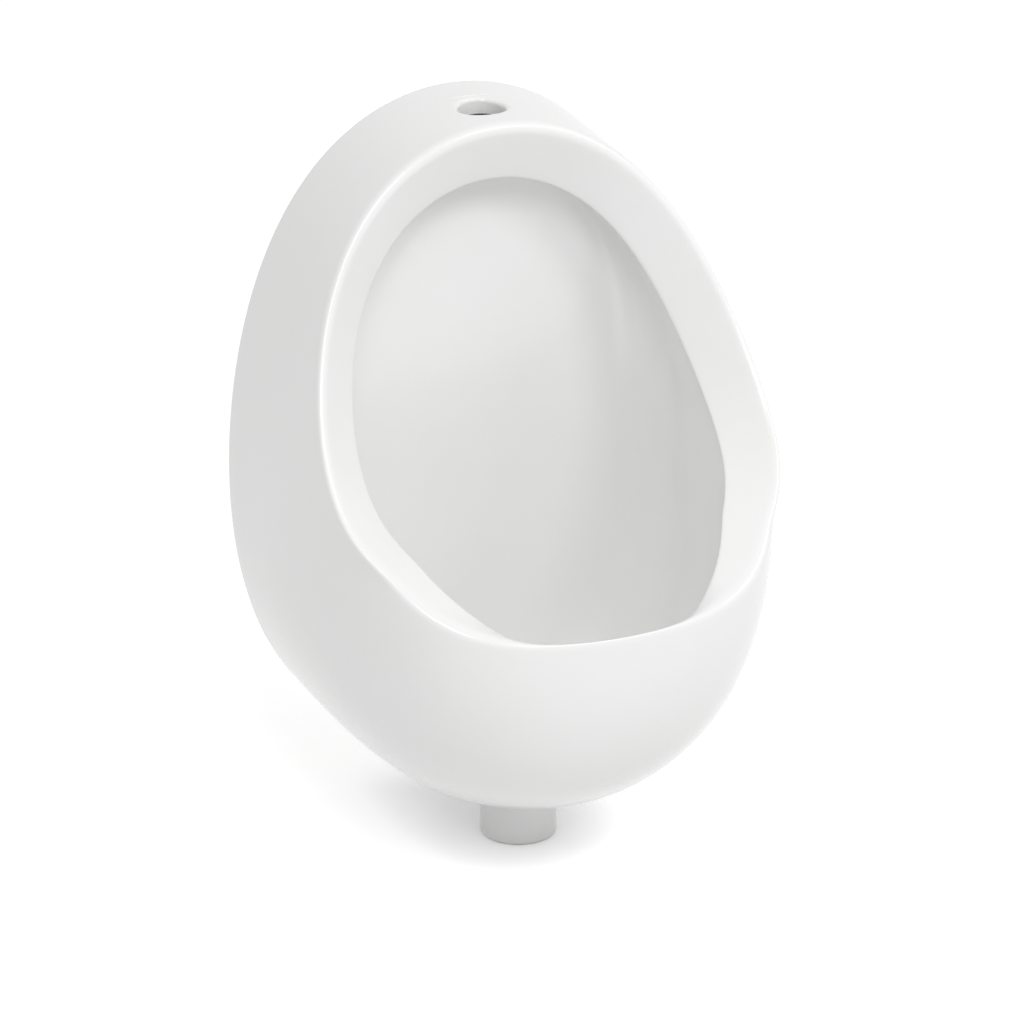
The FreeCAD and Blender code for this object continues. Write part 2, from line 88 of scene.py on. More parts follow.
looking = Vector((
    -math.sin(VIEW_AZIMUTH) * math.cos(VIEW_PITCH),
    math.cos(VIEW_AZIMUTH) * math.cos(VIEW_PITCH),
    -math.sin(VIEW_PITCH),
))
camera_data = bpy.data.cameras.new("photo_camera")
camera_data.lens = VIEW_LENS_MM
camera_data.sensor_width = VIEW_SENSOR_MM
camera_data.clip_end = VIEW_CLIP
camera = bpy.data.objects.new("photo_camera", camera_data)
camera.location = VIEW_TARGET - looking * VIEW_DISTANCE
camera.rotation_euler = looking.to_track_quat("-Z", "Y").to_euler()
scene.collection.objects.link(camera)
scene.camera = camera
scene.view_settings.view_transform = "Standard"
print("camera at", [round(v, 3) for v in camera.location])

# %% [markdown]
# ## Colour and nodes
# Paint charts and screens give colours in sRGB, but the shader works in linear light, so one function
# turns a hex value into linear numbers. Another adds a node, sets its values and joins its inputs, which
# keeps each material short enough to read.

# %% Colour and node helpers
def linear(hex_colour):
    """A colour such as "F2F2EE" as linear red, green, blue and alpha."""
    channels = [int(hex_colour[i:i + 2], 16) / 255 for i in (0, 2, 4)]
    return [c / 12.92 if c <= 0.04045 else ((c + 0.055) / 1.055) ** 2.4 for c in channels] + [1.0]


def add_node(tree, kind, values=None, links=None, **settings):
    """A node with its settings, socket values and links from other nodes or their output sockets."""
    node = tree.nodes.new(kind)
    for name, value in settings.items():
        setattr(node, name, value)
    for socket, value in (values or {}).items():
        node.inputs[socket].default_value = value
    for socket, source in (links or {}).items():
        first = source.outputs[0] if isinstance(source, bpy.types.Node) else source
        tree.links.new(first, node.inputs[socket])
    return node


def new_material(name):
    """A material without nodes, and its node tree."""
    material = bpy.data.materials.new(name)
    material.use_nodes = True
    material.node_tree.nodes.clear()
    return material, material.node_tree


# %% [markdown]
# ## Floor, backdrop and light
# The object stands in a white studio. The floor is a plain pale sheet that keeps the object's soft
# shadow. Where the camera, a gloss or a glass looks at it, a little light is added, so that it reads as
# white, but less of it close to the object: that dimming is a painted contact shadow under the object.
# Three square lamps stand above the front, the strongest to the left, and weak light comes from all
# round. They stay at a plain level.

# %% Floor
def background_rays(tree):
    """1 for a ray from the camera, a gloss or a glass, and 0 for light that falls on things."""
    path = add_node(tree, "ShaderNodeLightPath").outputs
    found = path["Is Camera Ray"]
    for ray in ("Is Glossy Ray", "Is Transmission Ray"):
        found = add_node(tree, "ShaderNodeMath", links={0: found, 1: path[ray]}, operation="MAXIMUM")
    return found


FLOOR_HALF = 12.0
FLOOR_GLOW = 0.50
CONTACT_REACH = 0.045         # metres within which the object darkens the floor under it
CONTACT_SHADE = 0.25          # share of the glow that is left where they touch

floor_material, tree = new_material("painted_studio_floor")
sheet = add_node(tree, "ShaderNodeBsdfDiffuse", {"Color": linear("E8E8E8")})
# Painted contact shadow: ambient occlusion dims the floor's added glow where the object is near.
near = add_node(tree, "ShaderNodeAmbientOcclusion", {"Distance": CONTACT_REACH}, samples=4)
painted_contact_shadow = add_node(tree, "ShaderNodeMapRange", {"To Min": FLOOR_GLOW * CONTACT_SHADE, "To Max": FLOOR_GLOW},
                   {"Value": near.outputs["AO"]})
glow = add_node(tree, "ShaderNodeEmission", {"Color": linear("FFFFFF")}, {"Strength": painted_contact_shadow})
none = add_node(tree, "ShaderNodeEmission", {"Strength": 0.0})
seen = add_node(tree, "ShaderNodeMixShader", links={0: background_rays(tree), 1: none, 2: glow})
both = add_node(tree, "ShaderNodeAddShader", links={0: sheet, 1: seen})
add_node(tree, "ShaderNodeOutputMaterial", links={"Surface": both})

floor_mesh = bpy.data.meshes.new("floor")
floor_height = cad_box[0][2]
floor_mesh.from_pydata(
    [(x, y, floor_height) for x, y in ((-1, -1), (1, -1), (1, 1), (-1, 1))], [], [(0, 1, 2, 3)])
floor_mesh.transform(Matrix.Diagonal((FLOOR_HALF, FLOOR_HALF, 1, 1)))
floor_mesh.materials.append(floor_material)
floor = bpy.data.objects.new("floor", floor_mesh)
scene.collection.objects.link(floor)
print("floor at", round(floor_height, 4))

# %% World and lamps
AMBIENT = 0.61

world = bpy.data.worlds.new("white_studio")
world.use_nodes = True
scene.world = world
tree = world.node_tree
tree.nodes.clear()
room = add_node(tree, "ShaderNodeBackground", {"Color": linear("FFFFFF"), "Strength": AMBIENT})
white = add_node(tree, "ShaderNodeBackground", {"Color": linear("FFFFFF"), "Strength": 1.0})
mixed = add_node(tree, "ShaderNodeMixShader", links={0: background_rays(tree), 1: room, 2: white})
add_node(tree, "ShaderNodeOutputWorld", links={"Surface": mixed})

LAMP_SIZE = 0.6
LAMP_AIM = Vector((0, -0.1, -0.1))
LAMPS = (("key_softbox", (-0.50, -1.66, 1.36), 9.0), ("side_softbox", (1.41, -0.86, 1.36), 4.0),
         ("fill_softbox", (0.66, -1.61, 1.36), 6.5))

for name, lamp_place, power in LAMPS:
    lamp_data = bpy.data.lights.new(name, "AREA")
    lamp_data.shape = "SQUARE"
    lamp_data.size = LAMP_SIZE
    lamp_data.energy = power
    lamp = bpy.data.objects.new(name, lamp_data)
    lamp.location = lamp_place
    lamp.rotation_euler = (LAMP_AIM - Vector(lamp_place)).to_track_quat("-Z", "Y").to_euler()
    scene.collection.objects.link(lamp)
    print(name, power, "W")

# %% [markdown]
# ## The glaze
# Vitreous china is fired clay under a thin layer of glass. The glaze is white, very smooth and a little
# wavy, as it flowed while it melted, so its reflections bend gently. Where the casting meets the wall it
# was wiped clean before firing, so the flange there is bare bisque: matt, cream and finely grainy.

# %% Glazed vitreous china
GLAZE_WAVE = 0.014            # metres from one gentle wave of the glaze to the next
GLAZE_CLOUD = 9.0             # clouds of slightly duller glaze to a metre
BISQUE_GRAIN = 0.0009         # metres, coarser than real grains, which would be too fine to show
BISQUE_DEPTH = 0.0012         # the bare flange ends this far from the wall plane

china_material, tree = new_material("glazed_vitreous_china")
place = add_node(tree, "ShaderNodeTexCoord").outputs["Object"]
wave = add_node(tree, "ShaderNodeTexNoise", {"Scale": 1 / GLAZE_WAVE, "Detail": 1.5, "Roughness": 0.4},
                {"Vector": place})
cloud = add_node(tree, "ShaderNodeTexNoise", {"Scale": GLAZE_CLOUD, "Detail": 3.0}, {"Vector": place})
tint = add_node(tree, "ShaderNodeValToRGB", links={0: cloud})
for stop, position, colour in zip(tint.color_ramp.elements, (0.30, 0.75), ("F7F7F6", "FAFAFA")):
    stop.position, stop.color = position, linear(colour)
polish = add_node(tree, "ShaderNodeMapRange", {"To Min": 0.13, "To Max": 0.19}, {"Value": cloud})
ripple = add_node(tree, "ShaderNodeBump", {"Strength": 0.06, "Distance": 0.0004}, {"Height": wave})
glaze = add_node(tree, "ShaderNodeBsdfPrincipled", {"IOR": 1.52},
                 {"Base Color": tint, "Roughness": polish, "Normal": ripple})

grain = add_node(tree, "ShaderNodeTexNoise", {"Scale": 1 / BISQUE_GRAIN, "Detail": 4.0, "Roughness": 0.65},
                 {"Vector": place})
clay = add_node(tree, "ShaderNodeValToRGB", links={0: grain})
for stop, colour in zip(clay.color_ramp.elements, ("E2DBCF", "EFEAE1")):
    stop.color = linear(colour)
tooth = add_node(tree, "ShaderNodeBump", {"Strength": 0.5, "Distance": 0.0002}, {"Height": grain})
bisque = add_node(tree, "ShaderNodeBsdfPrincipled", {"IOR": 1.5, "Roughness": 0.85},
                  {"Base Color": clay, "Normal": tooth})

split = add_node(tree, "ShaderNodeSeparateXYZ", links={0: place})
bare = add_node(tree, "ShaderNodeMapRange", {"From Min": -BISQUE_DEPTH, "From Max": -BISQUE_DEPTH * 0.4},
                {"Value": split.outputs["Y"]})
surface = add_node(tree, "ShaderNodeMixShader", links={0: bare, 1: glaze, 2: bisque})
add_node(tree, "ShaderNodeOutputMaterial", links={"Surface": surface})

# %% [markdown]
# ## The outline on the wall
# Seen from the front the china is an egg, wider above its foot than at its top. A half width that is a
# sine, with two small sines added, gives that curve with upright tangents at both ends. Every size below
# is in metres, and heights are measured from the china's lowest point at the wall.

# %% Outline and slices
BODY_HEIGHT = 0.450
BODY_WIDTH = 0.314
OUTLINE_TAPER = 0.0051
OUTLINE_SQUARE = 0.0044
BULGE_HEIGHT = 0.214
BELLY_DEPTH = 0.2685
FLANK_DEPTH = 0.510
BELLY_ENDS = 0.203
FLANKS_BEGIN = 0.317
BULGE_POWER = 3.41
TOP_SLOPE = 0.034
TOP_SLOPE_BEGINS = 0.270
TINY = 0.00001


def step(value, low, high):
    """0 below low, 1 above high, and a smooth S between them."""
    t = min(1.0, max(0.0, (value - low) / (high - low)))
    return t * t * (3 - 2 * t)


def raw_half_width(angle):
    return (BODY_WIDTH / 2 * math.sin(angle) - OUTLINE_TAPER * math.sin(2 * angle)
            + OUTLINE_SQUARE * math.sin(3 * angle))


WIDEST = max(raw_half_width(math.radians(degree)) for degree in range(181))


def wall_point(angle):
    """(x, height) of the egg on the wall; angle 0 is its top and pi its foot."""
    return raw_half_width(angle) * BODY_WIDTH / 2 / WIDEST, BODY_HEIGHT / 2 * (1 + math.cos(angle))


# %% [markdown]
# ## The skin in slices
# A slice runs from the bulge's centre line out to one point of the egg. Within it the outside is a
# squarish quarter circle, which reaches the wall upright and rounds over to the front. The rim cuts it
# along an arc that bows in towards the wall, then the collar falls inward to a lip, and behind the lip
# the bowl follows the outside at the china's thickness, to the bowl's flat back.

# %% Rim, collar and bowl
RIDGE_TOP_DEPTH = 0.091
RIDGE_TOP_DROP = 0.022
RIDGE_LOW_SETBACK = 0.0062
RIDGE_LOW_HEIGHT = 0.177
RIM_HOLLOW = 0.029
RIDGE_ROUND = 0.009
LIP_ROUND = (0.0159, 0.004, 0.004)          # three sizes stand for the bowl's foot, sides and top
RIM_THICKNESS = (0.014, 0.0265, 0.037)
COLLAR_FALL = (0.0136, 0.0244, 0.0185)
UNDERCUT = (0.000, 0.009, 0.006)
LIP_SWELL = 0.0049            # the lip reaches further in where the rim turns to the belly
LIP_SWELL_HEIGHT = 0.120
LIP_SWELL_SPREAD = 0.075
BOWL_BACK_CORNER = (0.060, 0.036, 0.006)
UNDERCUT_HEIGHT = 0.006
SIDES_BEGIN = 0.200
SIDES_END = 0.240
FRONT_WALL = 0.012
BOWL_BACK = 0.034


def graded(height, sizes):
    """A size that is given at the foot, sides and top."""
    foot, side, top = sizes
    return (foot + (side - foot) * step(height, 0, SIDES_BEGIN)
            + (top - side) * step(height, SIDES_END, BODY_HEIGHT))


def rim_depth(height):
    """Depth of the rim's arc at a height."""
    low_depth = BELLY_DEPTH - RIDGE_LOW_SETBACK
    top_height = BODY_HEIGHT - RIDGE_TOP_DROP
    run = low_depth - RIDGE_TOP_DEPTH
    drop = top_height - RIDGE_LOW_HEIGHT
    chord = math.hypot(run, drop)
    radius = chord ** 2 / (8 * RIM_HOLLOW) + RIM_HOLLOW / 2
    out = radius - RIM_HOLLOW
    centre_depth = (RIDGE_TOP_DEPTH + low_depth) / 2 + out * drop / chord
    centre_height = (top_height + RIDGE_LOW_HEIGHT) / 2 + out * run / chord
    return centre_depth - math.sqrt(max(0.0, radius ** 2 - (height - centre_height) ** 2))


def halve(near, far, is_near, turns=45):
    """The value between near and far at which is_near turns false."""
    for _ in range(turns):
        middle = (near + far) / 2
        if is_near(middle):
            near = middle
        else:
            far = middle
    return near


def towards(start, end, length, most):
    """The point at a length from start on the way to end, at most that share of the way."""
    share = min(length / math.dist(start, end), most)
    return start[0] + (end[0] - start[0]) * share, start[1] + (end[1] - start[1]) * share


class Slice:
    """One slice through the skin. A point in it is (reach, depth)."""

    def __init__(self, angle):
        self.x, self.height = wall_point(angle)
        self.reach = math.hypot(self.x, self.height - BULGE_HEIGHT)
        self.close = BELLY_DEPTH + (FLANK_DEPTH - BELLY_DEPTH) * step(self.height, BELLY_ENDS, FLANKS_BEGIN)
        above = (self.height - TOP_SLOPE_BEGINS) / (BODY_HEIGHT - TOP_SLOPE_BEGINS)
        self.slope = TOP_SLOPE * min(1.0, max(0.0, above))
        depth = halve(0.0, self.close - TINY,
                      lambda d: d < rim_depth(self.place(self.outside(d), d).z - FOOT))
        self.ridge = (self.outside(depth), depth)
        lip_depth = depth - graded(self.height, COLLAR_FALL)
        swell = LIP_SWELL * math.exp(-((self.height - LIP_SWELL_HEIGHT) / LIP_SWELL_SPREAD) ** 2)
        self.lip = (self.inside(lip_depth) - graded(self.height, UNDERCUT) - swell, lip_depth)
        under_depth = lip_depth - UNDERCUT_HEIGHT
        self.under = (self.inside(under_depth), under_depth)
        self.corner_radius = min(graded(self.height, BOWL_BACK_CORNER), 0.6 * (under_depth - BOWL_BACK))
        corner_depth = BOWL_BACK + self.corner_radius
        self.corner = (self.inside(corner_depth), corner_depth)

    def place(self, reach, depth):
        """The point in space."""
        share = reach / self.reach
        rise = BULGE_HEIGHT + share * (self.height - BULGE_HEIGHT) - self.slope * depth
        return Vector((share * self.x, -depth, FOOT + rise))

    def outside(self, depth):
        return self.reach * (1 - (depth / self.close) ** BULGE_POWER) ** (1 / BULGE_POWER)

    def inside(self, depth):
        full = self.reach - graded(self.height, RIM_THICKNESS)
        return full * (1 - (depth / (self.close - FRONT_WALL)) ** BULGE_POWER) ** (1 / BULGE_POWER)


# %% [markdown]
# ## Rows of points
# Each slice becomes a run of points, the same number in every slice, so that runs side by side make
# quads. Flats and curves are spaced by length, and the rounded ridge and lip are parabolas that leave
# along both sides. The back starts in the middle of the hollow behind the bowl, so the whole skin is
# one closed sheet from there to the middle of the bowl's back.

# %% Points of a slice
FLANGE_WIDTH = 0.013
HOLLOW_DEPTH = 0.024
HOLLOW_ROUND = 0.005
HOLLOW_TOP = 0.36938          # height of the wall between the hollow back and the rim's channel
HOLLOW_CORNER_POWER = 30      # a higher power makes the corner under the hollow's level top sharper
WALL_EDGE_ROUND = 0.0015
FINE = 160                    # points that a wall is measured with before it is spaced
EDGE_POINTS, COVE_POINTS, WALL_POINTS = 3, 6, 44
RIDGE_POINTS, COLLAR_POINTS, LIP_POINTS, CORNER_POINTS = 12, 8, 7, 14
HOLLOW_SHARES = (0.25, 0.5, 0.75, 0.94)     # of the way from the middle of the hollow back to its edge
BACK_SHARES = (0.95, 0.8, 0.6, 0.4, 0.2)    # of the way from the middle of the bowl's back to its edge


def even(points, count):
    """The same run, as that many evenly spaced points after its first."""
    along = [0.0]
    for a, b in zip(points, points[1:]):
        along.append(along[-1] + math.dist(a, b))
    spaced, i = [], 0
    for k in range(1, count + 1):
        target = along[-1] * k / count
        while i < len(points) - 2 and along[i + 1] < target:
            i += 1
        share = (target - along[i]) / (along[i + 1] - along[i])
        spaced.append(tuple(p + (q - p) * share for p, q in zip(points[i], points[i + 1])))
    return spaced


def bend(start, corner, end, count):
    """A rounded corner as a parabola."""
    curve = []
    for k in range(1, count + 1):
        t = k / count
        a, b, c = (1 - t) ** 2, 2 * t * (1 - t), t * t
        curve.append(tuple(a * p + b * q + c * r for p, q, r in zip(start, corner, end)))
    return curve


def arc(count, first=1):
    """Sine and cosine of the turns of a quarter circle, after its start or with it."""
    turns = [math.pi / 2 * k / count for k in range(first, count + 1)]
    return [(math.sin(turn), math.cos(turn)) for turn in turns]


def quarter(start, end, count):
    """A quarter ellipse that leaves start along the reach and meets end along the depth."""
    return [(start[0] + (end[0] - start[0]) * sine, start[1] + (end[1] - start[1]) * (1 - cosine))
            for sine, cosine in arc(count)]


def follow(wall, start, end):
    """Close points of a wall, outside or inside, between two depths."""
    return [(wall(depth), depth) for depth in [start + (end - start) * k / FINE for k in range(FINE + 1)]]


def hollow_reach(piece):
    """Reach of the hollow back's wall: inside the flange, and below its level top."""
    edge = piece.reach - FLANGE_WIDTH
    rise = piece.height - BULGE_HEIGHT
    if rise <= 0:
        return edge
    top = piece.reach * (HOLLOW_TOP - BULGE_HEIGHT) / rise
    return (edge ** -HOLLOW_CORNER_POWER + top ** -HOLLOW_CORNER_POWER) ** (-1 / HOLLOW_CORNER_POWER)


def slice_points(piece):
    """The whole run, from the middle of the hollow back to the middle of the bowl's back."""
    hollow = hollow_reach(piece)
    floor_edge = (hollow - HOLLOW_ROUND, HOLLOW_DEPTH)
    wall_foot = (hollow, HOLLOW_DEPTH - HOLLOW_ROUND)
    edge = (piece.reach - WALL_EDGE_ROUND, 0.0)
    flank_start = (piece.reach, WALL_EDGE_ROUND)
    flank_end = halve(0.0, piece.ridge[1],
                      lambda d: math.dist((piece.outside(d), d), piece.ridge) > RIDGE_ROUND)
    flank = follow(piece.outside, WALL_EDGE_ROUND, flank_end)
    collar_start = towards(piece.ridge, piece.lip, RIDGE_ROUND, 0.45)
    rounding = graded(piece.height, LIP_ROUND)
    collar_end = towards(piece.lip, piece.ridge, rounding, 0.4)
    lip_end = towards(piece.lip, piece.under, rounding, 0.45)
    bowl = follow(piece.inside, piece.under[1], piece.corner[1])
    radius = piece.corner_radius
    turn = [(piece.corner[0] - radius * (1 - cosine), piece.corner[1] - radius * sine)
            for sine, cosine in arc(FINE // 2, 0)]
    points = [(floor_edge[0] * share, HOLLOW_DEPTH) for share in HOLLOW_SHARES] + [floor_edge]
    points += quarter(floor_edge, wall_foot, COVE_POINTS)
    points += even([wall_foot, (hollow, WALL_EDGE_ROUND)], COVE_POINTS)
    points += bend((hollow, WALL_EDGE_ROUND), (hollow, 0.0), (hollow + WALL_EDGE_ROUND, 0.0), EDGE_POINTS)
    points += even([points[-1], edge], EDGE_POINTS)
    points += bend(edge, (piece.reach, 0.0), flank_start, EDGE_POINTS)
    points += even(flank, WALL_POINTS)
    points += bend(flank[-1], piece.ridge, collar_start, RIDGE_POINTS)
    points += even([collar_start, collar_end], COLLAR_POINTS)
    points += bend(collar_end, piece.lip, lip_end, LIP_POINTS)
    points += even([lip_end, piece.under], EDGE_POINTS)
    points += even(bowl, WALL_POINTS)
    points += even(turn, CORNER_POINTS)
    points += [(turn[-1][0] * share, BOWL_BACK) for share in BACK_SHARES]
    return [piece.place(reach, depth) for reach, depth in points]


SLICES = 240
slices = [Slice(2 * math.pi * i / SLICES) for i in range(SLICES)]
runs = [slice_points(piece) for piece in slices]
ROWS = len(runs[0])
print(SLICES, "slices of", ROWS, "points")

# %% Skin mesh
def centre_point(depth):
    return Vector((0.0, -depth, FOOT + BULGE_HEIGHT))


def skin_mesh():
    """The closed sheet as a bmesh: quads between the slices, and a fan of triangles at each end."""
    bm = bmesh.new()
    grid = [[bm.verts.new(point) for point in run] for run in runs]
    ends = [bm.verts.new(centre_point(HOLLOW_DEPTH)), bm.verts.new(centre_point(BOWL_BACK))]
    for i in range(SLICES):
        left, right = grid[i], grid[(i + 1) % SLICES]
        for k in range(ROWS - 1):
            bm.faces.new((left[k], left[k + 1], right[k + 1], right[k]))
        bm.faces.new((ends[0], left[0], right[0]))
        bm.faces.new((ends[1], right[-1], left[-1]))
    bmesh.ops.recalc_face_normals(bm, faces=bm.faces)
    return bm


skin = skin_mesh()
tree_of_skin = BVHTree.FromBMesh(skin)
print("skin:", len(skin.faces), "faces, volume", round(skin.calc_volume() * 1e6), "cm3")

# %% [markdown]
# ## Openings in the skin
# A hole that is cut with a boolean leaves ragged slivers, which a gloss shows at once. Here the quads
# round the hole are taken away, and a clean circle of points that lies on the same skin is joined to
# their edge. From that circle the hole's wall goes on ring by ring.

# %% Opening helpers
X_AXIS, Y_AXIS, UP = Vector((1, 0, 0)), Vector((0, 1, 0)), Vector((0, 0, 1))
WIDE_RING = 72
SMALL_RING = 24
RING_CLEAR = 0.003            # a wide opening's gap in the skin is this much larger than its ring
FROM_OUTSIDE = 0.05           # rings are dropped onto the skin from this far off
FROM_BOWL = 0.07              # or from this height in the bowl


def circle_on(tree, centre, aim, radius, side=X_AXIS, across=Y_AXIS, count=WIDE_RING):
    """Points round a line, dropped from the centre's plane along the aim onto a surface."""
    points = []
    for k in range(count):
        turn = 2 * math.pi * k / count
        start = centre + (side * math.cos(turn) + across * math.sin(turn)) * radius
        points.append(tree.ray_cast(start, aim)[0])
    return points


def open_skin(bm, points, axis, clear, thickness):
    """Takes away the faces that lie within clear of an axis, and no further along it than thickness from
    the ring's middle, and joins the gap's edge to the ring of points."""
    centre = sum(points, Vector()) / len(points)

    def is_near(face):
        offsets = [vert.co - centre for vert in face.verts]
        along = [offset.dot(axis) for offset in offsets]
        if max(abs(a) for a in along) > thickness:
            return False
        return min((offset - axis * a).length for offset, a in zip(offsets, along)) < clear

    doomed = dict.fromkeys(face for face in bm.faces if is_near(face))
    rim = dict.fromkeys(edge for face in doomed for edge in face.edges
                        if any(other not in doomed for other in edge.link_faces))
    bmesh.ops.delete(bm, geom=list(doomed), context="FACES")
    ring = [bm.verts.new(point) for point in points]
    circle = [bm.edges.new((ring[k - 1], ring[k])) for k in range(len(ring))]
    bmesh.ops.triangle_fill(bm, use_beauty=True, use_dissolve=False, edges=list(rim) + circle, normal=axis)
    return ring


def join_rings(bm, ring, other):
    """Quads from one ring of points to another."""
    for k in range(len(ring)):
        bm.faces.new((ring[k - 1], ring[k], other[k], other[k - 1]))
    return other


def join_all(bm, rings, closed=False):
    """Quads from each ring to the next, and from the last back to the first where they are closed."""
    for ring, other in zip(rings, rings[1:] + rings[:closed]):
        join_rings(bm, ring, other)


def ring_by_ring(bm, ring, points, centre, rows, level=False):
    """Quads from the last ring through a ring for each (radius, drop) in the rows. A ring has the radius
    about the centre and lies lower than the points by the drop, or is level at that height."""
    for radius, drop in rows:
        new = []
        for point in points:
            flat = Vector((point.x - centre.x, point.y - centre.y)).normalized() * radius
            height = drop if level else point.z - drop
            new.append(bm.verts.new((centre.x + flat.x, centre.y + flat.y, height)))
        ring = join_rings(bm, ring, new)
    return ring


def rolled_edge(radius, rounding, count):
    """Radii and drops of an edge that rolls over into an upright wall."""
    return [(radius + rounding * (1 - sine), rounding * (1 - cosine)) for sine, cosine in arc(count)]


# %% [markdown]
# ## The flush channel
# Inside the top of the rim runs a hollow that spreads the water. A potter makes it by sticking a second
# cast shell into the rim, so its walls are as thick as the rest. It is a sheet of its own, which the
# inlet and the flush holes join to the outer skin.

# %% Flush channel
CHANNEL_WALL = 0.009
CHANNEL_FRONT_WALL = 0.011
CHANNEL_BACK = 0.010
CHANNEL_HALF_TURN = 38        # degrees
CHANNEL_STEP = 2
CHANNEL_COUNTS = (5, 14, 5, 14)             # quads across its back, outer, front and inner walls


def channel_ring(piece):
    """The channel's four walls in one slice, as a closed run of points."""
    low, high = piece.under[0] + CHANNEL_WALL, piece.outside(piece.ridge[1]) - CHANNEL_WALL
    fall = (piece.ridge[1] - piece.lip[1]) / (piece.ridge[0] - piece.lip[0])
    front = [piece.lip[1] + (reach - piece.lip[0]) * fall - CHANNEL_FRONT_WALL for reach in (low, high)]
    corners = [(low, CHANNEL_BACK), (high, CHANNEL_BACK), (high, front[1]), (low, front[0])]
    run = []
    for a, b, count in zip(corners, corners[1:] + corners[:1], CHANNEL_COUNTS):
        run += [piece.place(*[p + (q - p) * k / count for p, q in zip(a, b)]) for k in range(count)]
    return run


def add_channel(bm):
    turns = range(-CHANNEL_HALF_TURN, CHANNEL_HALF_TURN + 1, CHANNEL_STEP)
    rings = [[bm.verts.new(p) for p in channel_ring(Slice(math.radians(turn)))] for turn in turns]
    join_all(bm, rings)
    bm.faces.new(rings[0])
    bm.faces.new(rings[-1])


channel = bmesh.new()
add_channel(channel)
tree_of_channel = BVHTree.FromBMesh(channel)
channel.free()
add_channel(skin)
print("channel added:", len(skin.faces), "faces")

# %% [markdown]
# ## The flush inlet
# The flush pipe goes into a round hole in the top of the rim. Its mouth is soft, because the caster
# sponges the wet clay there, so the edge rolls over before the bore goes straight down. Inside, a short
# sleeve hangs from the channel's roof and lengthens the bore.

# %% Flush inlet
INLET_DEPTH = 0.0485
INLET_BORE = 0.030
INLET_FLARE = 0.003
INLET_LENGTH = 0.017
INLET_BOSS_WALL = 0.006

crown = slices[0]
inlet_top = crown.place(crown.outside(INLET_DEPTH), INLET_DEPTH).z
inlet = Vector((0, -INLET_DEPTH, inlet_top))
boss_end = inlet_top - INLET_LENGTH
bore, boss = INLET_BORE / 2, INLET_BORE / 2 + INLET_BOSS_WALL

mouth = circle_on(tree_of_skin, inlet + UP * FROM_OUTSIDE, -UP, bore + INLET_FLARE)
ring = open_skin(skin, mouth, UP, bore + INLET_FLARE + RING_CLEAR, thickness=0.006)
ring = ring_by_ring(skin, ring, mouth, inlet, rolled_edge(bore, INLET_FLARE, 8))
ring = ring_by_ring(skin, ring, mouth, inlet, [(bore, boss_end), (boss, boss_end)], level=True)
roof = circle_on(tree_of_channel, inlet - UP * (INLET_LENGTH + 0.001), UP, boss)
join_rings(skin, ring, open_skin(skin, roof, UP, boss + 0.002, thickness=0.004))
print("inlet: top at", round(inlet_top, 4), "bore", INLET_BORE)

# %% Flush holes
FLUSH_HOLE = 0.005
FLUSH_HOLE_PITCH = 0.024
FLUSH_HOLES_EACH_SIDE = 3
FLUSH_HOLE_SETBACK = 0.0015
FLUSH_HOLE_CLEAR = 0.0008
FROM_BELOW, FROM_ABOVE = 0.012, 0.008       # from a hole's middle to where its two rings are dropped from
FLUSH_HOLE_SLANT = 0.003      # a hole's upper end is this much nearer to the wall


def slice_over(x):
    """The slice near the top whose bowl ceiling lies over x."""
    share = (BODY_HEIGHT - BULGE_HEIGHT - RIM_THICKNESS[2]) / (BODY_HEIGHT - BULGE_HEIGHT)
    turn = halve(-math.pi / 2, math.pi / 2, lambda angle: share * wall_point(angle)[0] < x)
    return Slice(turn)


for number in range(FLUSH_HOLES_EACH_SIDE):
    for side in (-1, 1):
        piece = slice_over(side * (number + 0.5) * FLUSH_HOLE_PITCH)
        depth = piece.under[1] - FLUSH_HOLE_SETBACK
        middle = piece.place(piece.under[0] + CHANNEL_WALL / 2, depth)
        outward = (piece.place(piece.under[0] + CHANNEL_WALL, depth) - middle).normalized()
        across = outward.cross(Y_AXIS).normalized()
        small = (FLUSH_HOLE / 2, Y_AXIS, across, SMALL_RING)
        below = circle_on(tree_of_skin, middle - outward * FROM_BELOW, outward, *small)
        start = middle + outward * FROM_ABOVE + Y_AXIS * FLUSH_HOLE_SLANT
        above = circle_on(tree_of_channel, start, -outward, *small)
        clear = FLUSH_HOLE / 2 + FLUSH_HOLE_CLEAR
        ring = open_skin(skin, below, outward, clear, thickness=0.004)
        join_rings(skin, ring, open_skin(skin, above, outward, clear, thickness=0.003))
print("flush holes:", 2 * FLUSH_HOLES_EACH_SIDE)

# %% [markdown]
# ## The outlet
# In the bowl's floor lies a round well with a flat ledge for the strainer. Its bore goes down through
# the spigot, which is cast with the body and grows from the belly in a small hollow curve. One run of
# rings goes from the bowl's floor through the bore, round the spigot's end and up to the belly.

# %% Outlet
OUTLET_DEPTH = 0.1105
SPIGOT_RADIUS = 0.025
SPIGOT_ROUND = 0.0025
SPIGOT_ROOT = 0.003
OUTLET_BORE = 0.038
BORE_ROUND = 0.0012
WELL_RADIUS = 0.031
WELL_DEPTH = 0.007
WELL_ROUND = 0.003
LEDGE_ROUND = 0.0015

outlet = Vector((0, -OUTLET_DEPTH, 0))
keel = slices[SLICES // 2]
ledge = keel.place(keel.inside(OUTLET_DEPTH), OUTLET_DEPTH).z - WELL_DEPTH
spigot_end = FOOT - SPIGOT_BELOW_CHINA
hole = OUTLET_BORE / 2

